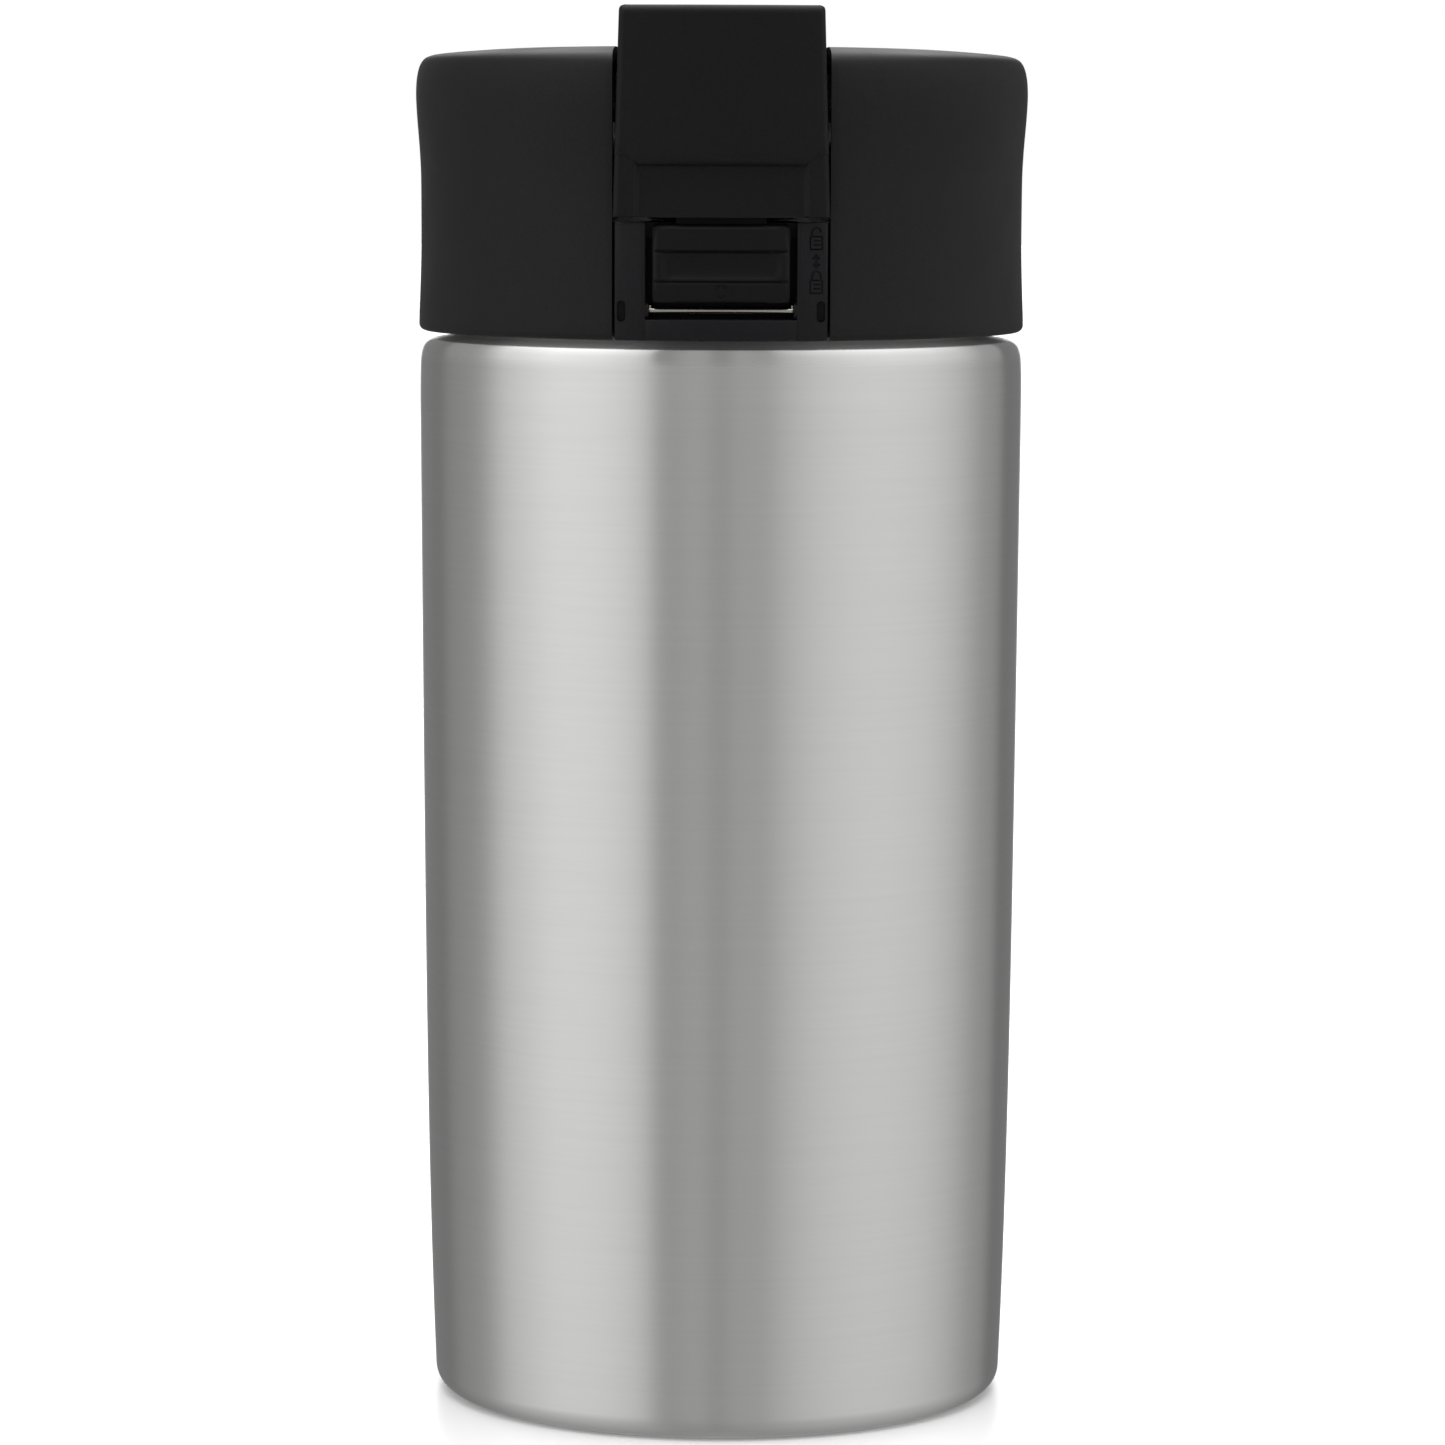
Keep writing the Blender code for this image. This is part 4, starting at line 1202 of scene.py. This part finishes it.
    def rocker(self) -> Piece:
        """Model the lever behind the thumb piece, with its foot, arm and nose."""
        side = [(-33.6, 127.7), (-32.6, 127.7), (-31.85, 127.7), (-31.85, 126.0), (-31.45, 126.0),
                (-31.45, 128.3), (-32.6, 128.3), (-32.6, 134.6), (-32.2, 135.2), (-32.2, 140.4),
                (-32.6, 140.8), (-33.3, 139.9), (-33.3, 139.5), (-33.0, 139.2), (-33.0, 136.3),
                (-33.6, 135.9)]
        rocker = slab("latch_rocker", side, Axis.X, -self.thumb_half, self.thumb_half)
        carve(rocker, [block("window", (-2.8, -40.0, 128.7), (2.8, -30.0, 132.8)),
                       block("left", (-12.0, -40.0, 136.3), (-5.0, -30.0, 145.0)),
                       block("right", (5.0, -40.0, 136.3), (12.0, -30.0, 145.0))])
        soften(rocker, 0.12, 2, 50.0)
        # The rocker wears the darkened lever plastic: black plastic with painted shade, so it reads as
        # shadow in the gap behind the thumb piece.
        return dress(rocker, SHADE_DARKENED_LEVER_PLASTIC, Body.LATCH, "latch_rocker")

    def spring(self) -> Piece:
        """Wind the return spring along Y."""
        turns, per_turn, back, front = 4.0, 24, -26.8, -31.6
        steps = int(turns * per_turn)
        points = []
        for step in range(steps + 1):
            angle = 2.0 * math.pi * step / per_turn
            along = back + (front - back) * step / steps
            points.append((1.5 * math.cos(angle), along, 138.9 + 1.5 * math.sin(angle)))
        spring = wire("latch_spring", points, 0.22)
        dress(spring, SPRING_STEEL, Body.LID, "latch_spring")
        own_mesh(spring)
        return spring


# ------------------------------------------------------------------ flip cap

@dataclass
class FlipCap:
    """The cap: a hollow bar over the deck whose tongue hangs down over the latch."""

    top: float = 160.2
    slope: float = 0.04
    half_top: float = 11.28
    growth: float = 0.029
    wall: float = 1.8
    cavity: float = 9.4
    tongue_bottom: float = 137.0
    inner_y: float = -33.9
    front_y: float = -36.15
    crown: float = 1.05
    lip_z: float = 142.8
    lip_round: float = 1.5
    recess: float = 1.85
    flange: float = 1.0
    flare: float = 1.2
    flare_x: float = 8.9
    corner: float = 0.62
    hinge: Point2 = (32.0, 150.0)
    edge_z: float = 149.9
    vent_y: float = -10.0

    def half(self, z: float) -> float:
        """Return half the cap's width at a height: it narrows upwards, with round corners."""
        width = self.half_top + self.growth * (self.top - z)
        return width - roundover(self.top - z, self.corner)

    def top_z(self, y: float) -> float:
        """Return the height of the top, which falls slightly towards the hinge."""
        return self.top - self.slope * max(0.0, y - self.front_y)

    def tongue_y(self, x: float, z: float) -> float:
        """Return the tongue's front at (x, z): a convex face over a scooped finger recess."""
        across = abs(x) / self.half_top
        thick = self.front_y + self.crown * across * across + 0.012 * (self.top - z)
        floor = self.front_y + self.recess + 0.2 * across * across
        flange = self.front_y + self.flange + 0.6 * across * across
        low = floor + (flange - floor) * ease(abs(x), self.flare_x, 9.7)
        lip = self.lip_z - 0.15 + self.flare * ease(abs(x), self.flare_x, 10.6)
        rise = z - lip
        if rise <= 0.0:
            y = low
        elif rise >= self.lip_round:
            y = thick
        else:
            t = 1.0 - rise / self.lip_round
            y = thick + (low - thick) * (1.0 - math.sqrt(1.0 - t * t))
        y += roundover(self.half(z) - abs(x), 0.6) + roundover(self.top - z, 1.1)
        return min(self.inner_y - 0.35, y + roundover(z - self.tongue_bottom, 0.3))

    def tongue(self) -> Piece:
        """Model the front: tall convex face, rounded lip, finger recess and side flanges."""
        xs = stations((-1.0, -0.93, 8), (-0.93, -0.72, 16), (-0.72, 0.72, 32), (0.72, 0.93, 16),
                      (0.93, 1.0, 8))
        foot = self.tongue_bottom
        zs = stations((foot, foot + 0.3, 4), (foot + 0.3, 142.4, 10), (142.4, 145.9, 64),
                      (145.9, self.top - 1.2, 16), (self.top - 1.2, self.top, 14))
        return relief("cap_tongue", xs, zs, self.half, self.tongue_y, self.inner_y)

    def bar(self) -> Piece:
        """Model the bar from the tongue to the hinge, with the ears at its end."""
        tuck = 0.03
        side = [(self.inner_y - 0.4, self.top_z(-34.4) - tuck), (24.0, self.top_z(24.0))]
        side += flowing([(26.0, self.top_z(26.0) - 0.1), (28.5, 156.7), (30.2, 155.6),
                         (31.4, 154.3)], 4)
        side += [(31.4, 150.0), (27.9, self.edge_z), (self.inner_y - 0.4, self.edge_z)]
        bar = slab("cap_bar", side, Axis.X, -self.half_top, self.half_top)
        for vertex in bar.data.vertices:
            wide = self.half_top + self.growth * (self.top - vertex.co.z / MM) - tuck
            vertex.co.x = math.copysign(wide * MM, vertex.co.x)
        soften(bar, self.corner, 5, 40.0)
        ears = crossrod("ears", 4.2, self.half_top + 0.25, self.hinge, 64)
        soften(ears, 0.5, 4)
        return carve(bar, [ears], "UNION")

    def shell(self) -> Piece:
        """Join tongue and bar, hollow them from below and bore the ears."""
        cap = self.tongue()
        catch = block("catch", (-5.0, self.inner_y - 0.3, 137.6), (5.0, self.inner_y + 0.3, 138.9))
        carve(cap, [self.bar(), catch], "UNION")
        rise = self.top_z(24.0) - self.wall
        under = [(self.inner_y, 140.0), (self.inner_y, self.top - self.wall), (24.0, rise),
                 (28.0, 154.9), (29.5, 154.2), (31.0, 154.2), (40.0, 153.95), (40.0, 140.0)]
        hollow = slab("hollow", under, Axis.X, -self.cavity, self.cavity)
        carve(cap, [hollow, crossrod("bore", 1.3, 20.0, self.hinge)])
        return dress(cap, CAP_PLASTIC, Body.CAP, "cap_shell")

    def liner(self) -> Piece:
        """Model the insert under the top, with the socket that holds the stopper."""
        gap = self.wall + 0.3
        front, back = -33.3, 23.0
        side = [(front, self.top_z(front) - gap), (back, self.top_z(back) - gap),
                (back, self.top_z(back) - gap - 1.0), (-15.4, self.top_z(-15.4) - gap - 1.0),
                (-15.4, 154.3), (front, 154.3)]
        liner = slab("cap_liner", side, Axis.X, -9.0, 9.0)
        carve(liner, [block("pocket", (-8.0, -31.9, 150.0), (8.0, -16.2, 156.8))])
        for y in (0.0, 8.0, 16.0):
            under = self.top_z(y) - gap
            rib = block("rib", (-8.0, y, under - 1.8), (8.0, y + 1.0, under - 0.5))
            carve(liner, [rib], "UNION")
        soften(liner, 0.2, 2, 50.0)
        return dress(liner, INNER_PLASTIC, Body.CAP, "cap_liner")

    def stoppers(self) -> list[Piece]:
        """Model the silicone stopper of the spout and the small one of the air vent."""
        stopper = soften(block("spout_stopper", (-7.6, -31.5, 153.85), (7.6, -16.6, 156.4)), 0.6, 4)
        plug = soften(block("plug", (-6.7, -29.3, 151.5), (6.7, -18.0, 154.5)), 1.1, 5)
        carve(stopper, [plug], "UNION")
        dress(stopper, SEAL_RUBBER, Body.CAP, "spout_stopper")
        stem = [(0.0, 147.6), (0.6, 147.6), (0.8, 147.8), (0.9, 149.4), (2.2, 149.4), (2.4, 149.6),
                (2.4, 150.3), (1.6, 150.7), (1.4, 151.0), (1.4, 155.7), (0.0, 155.7)]
        vent = spun("vent_stopper", stem, (0.0, self.vent_y), SMALL_ROUND)
        dress(vent, SEAL_RUBBER, Body.CAP, "vent_stopper")
        return [stopper, vent]


# ------------------------------------------------------------------ studio

@dataclass
class Studio:
    """Pale floor, soft surrounding light and the camera."""

    distance: float = 689.6
    height: float = 148.7
    aside: float = 0.34
    tilt: float = 5.867
    roll: float = 0.2235
    lens: float = 148.38
    floor_half: float = 6.0
    overhead: float = 2.6
    low_light: float = 0.1
    high_light: float = 2.3
    room_light: float = 0.47
    lamp_place: Point3 = (0.0, 0.5, 1.4)
    lamp_aim: Point3 = (0.0, 0.2, 0.0)
    lamp_size: float = 1.4
    lamp_power: float = 8.0

    def camera(self) -> None:
        """Set the camera: level with the lid, looking down a little."""
        data = bpy.data.cameras.new("camera")
        data.lens = self.lens
        data.sensor_width = 36.0
        data.clip_start = 0.01
        camera = bpy.data.objects.new("camera", data)
        bpy.context.scene.collection.objects.link(camera)
        turn = Matrix.Rotation(math.radians(90.0 - self.tilt), 4, "X")
        turn @= Matrix.Rotation(math.radians(self.roll), 4, "Z")
        place = Vector((self.aside, -self.distance, self.height)) * MM
        camera.matrix_world = Matrix.Translation(place) @ turn
        bpy.context.scene.camera = camera

    def floor(self) -> None:
        """Lay the pale floor; it stays out of reflections, as behind a polariser."""
        clear_selection()
        bpy.ops.mesh.primitive_plane_add(size=2.0 * self.floor_half, location=(0.0, 0.0, 0.0))
        floor = bpy.context.active_object
        floor.name = "floor"
        material = bpy.data.materials.new("white_acrylic")
        material.use_nodes = True
        shader = material.node_tree.nodes["Principled BSDF"]
        shader.inputs["Base Color"].default_value = linear("#f6f6f6")
        shader.inputs["Roughness"].default_value = 0.3
        floor.data.materials.append(material)
        floor.visible_glossy = False

    def backdrop(self) -> None:
        """Hang a plain white sweep all round, which only shows behind the mug."""
        clear_selection()
        bpy.ops.mesh.primitive_uv_sphere_add(segments=32, ring_count=16, radius=self.floor_half * 1.3)
        sweep = bpy.context.active_object
        sweep.name = "sweep"
        material = bpy.data.materials.new("white_sweep")
        material.use_nodes = True
        tree = material.node_tree
        tree.nodes.clear()
        glow = add(tree, "ShaderNodeEmission", {"Color": (1.0, 1.0, 1.0, 1.0), "Strength": 1.0})
        add(tree, "ShaderNodeOutputMaterial", None, {"Surface": glow.outputs["Emission"]})
        sweep.data.materials.append(material)
        sweep.visible_diffuse = sweep.visible_glossy = sweep.visible_transmission = False
        sweep.visible_shadow = False

    def surround(self) -> None:
        """Light from all round: tall soft panels left and right, dimmer ahead and behind."""
        world = bpy.data.worlds.new("studio")
        world.use_nodes = True
        tree = world.node_tree
        tree.nodes.clear()
        place = add(tree, "ShaderNodeTexCoord")
        split = add(tree, "ShaderNodeSeparateXYZ", None, {"Vector": place.outputs["Generated"]})
        back = add(tree, "ShaderNodeMath", {1: -1.0}, {0: split.outputs["Y"]}, operation="MULTIPLY")
        around = add(tree, "ShaderNodeMath", None, {0: split.outputs["X"], 1: back.outputs["Value"]},
                     operation="ARCTAN2")
        share = add(tree, "ShaderNodeMapRange", {"From Min": -math.pi, "From Max": math.pi},
                    {"Value": around.outputs["Value"]})
        ramp = add(tree, "ShaderNodeValToRGB", None, {"Fac": share.outputs["Result"]})
        self.panels(ramp.color_ramp)
        steady = add(tree, "ShaderNodeMath", {1: self.room_light}, {0: ramp.outputs["Color"]},
                     operation="MINIMUM")
        excess = add(tree, "ShaderNodeMath", None, {0: ramp.outputs["Color"], 1: steady.outputs["Value"]},
                     operation="SUBTRACT")
        fall = add(tree, "ShaderNodeMapRange",
                   {"From Min": -0.4, "From Max": 0.4,
                    "To Min": self.low_light, "To Max": self.high_light},
                   {"Value": split.outputs["Z"]})
        shaded = add(tree, "ShaderNodeMath", None,
                     {0: excess.outputs["Value"], 1: fall.outputs["Result"], 2: steady.outputs["Value"]},
                     operation="MULTIPLY_ADD")
        rise = add(tree, "ShaderNodeMapRange", {"From Min": 0.8, "From Max": 0.9},
                   {"Value": split.outputs["Z"]})
        over = self.overhead
        mix = add(tree, "ShaderNodeMix", {"B": (over, over, over, 1.0)},
                  {"Factor": rise.outputs["Result"], "A": shaded.outputs["Value"]}, data_type="RGBA")
        light = add(tree, "ShaderNodeBackground", {"Strength": 1.0}, {"Color": mix.outputs["Result"]})
        add(tree, "ShaderNodeOutputWorld", None, {"Surface": light.outputs["Background"]})
        bpy.context.scene.world = world

    def panels(self, ramp: bpy.types.ColorRamp) -> None:
        """Set the brightness of the surround by azimuth from the camera, in degrees."""
        bands = [(-180, 1.0), (-172, 1.0), (-168, 0.25), (-136, 0.25), (-129, 0.37), (-112, 0.43),
                 (-104, 0.53), (-92, 0.9), (-68, 1.12), (-48, 1.03), (-34, 0.87), (-28, 0.7),
                 (-24, 0.38), (-20, 0.38), (-12, 0.48), (-6, 0.48), (-2, 0.38), (2, 0.38), (7, 0.48),
                 (18, 0.46), (25, 0.61), (38, 0.78), (54, 0.91), (68, 0.96), (88, 0.92), (104, 0.77),
                 (121, 0.49), (135, 0.42), (140, 0.23), (168, 0.23), (172, 1.0)]
        ramp.interpolation = "LINEAR"
        while len(ramp.elements) > 1:
            ramp.elements.remove(ramp.elements[-1])
        for index, (azimuth, level) in enumerate(bands):
            at = (azimuth + 180.0) / 360.0
            stop = ramp.elements[0] if index == 0 else ramp.elements.new(at)
            stop.position = at
            stop.color = (level, level, level, 1.0)

    def lamp(self, name: str, place: Point3, aim: Point3, size: float, power: float) -> None:
        """Hang one square soft light, in metres and watts."""
        data = bpy.data.lights.new(name, "AREA")
        data.size = size
        data.energy = power
        lamp = bpy.data.objects.new(name, data)
        bpy.context.scene.collection.objects.link(lamp)
        lamp.location = place
        lamp.rotation_euler = (Vector(aim) - Vector(place)).to_track_quat("-Z", "Y").to_euler()

    def build(self) -> None:
        """Set up camera, floor and light."""
        self.camera()
        self.floor()
        self.backdrop()
        self.surround()
        self.lamp("overhead", self.lamp_place, self.lamp_aim, self.lamp_size, self.lamp_power)
        bpy.context.scene.view_settings.view_transform = "Standard"


def main() -> None:
    """Build the studio and every piece of the mug, in order."""
    logging.basicConfig(level=logging.INFO, format="%(message)s")
    Studio().build()
    thread = Thread()
    flask = Flask()
    flask.outer_shell(thread)
    flask.inner_liner()
    flask.base_plate()
    flask.vacuum_seal()
    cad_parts["getter"].data.materials.clear()
    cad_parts["getter"].data.materials.append(GETTER.material())
    Gasket().ring()
    Collar().casing()
    core = Core()
    core.core(thread)
    core.base()
    core.mouthpiece()
    core.hinge_pin()
    core.cap_spring()
    latch = Latch()
    latch.frame()
    latch.latch_pin()
    latch.rocker()
    latch.spring()
    latch.thumb_piece()
    cap = FlipCap()
    cap.shell()
    cap.liner()
    cap.stoppers()


if __name__ == "__main__":
    main()
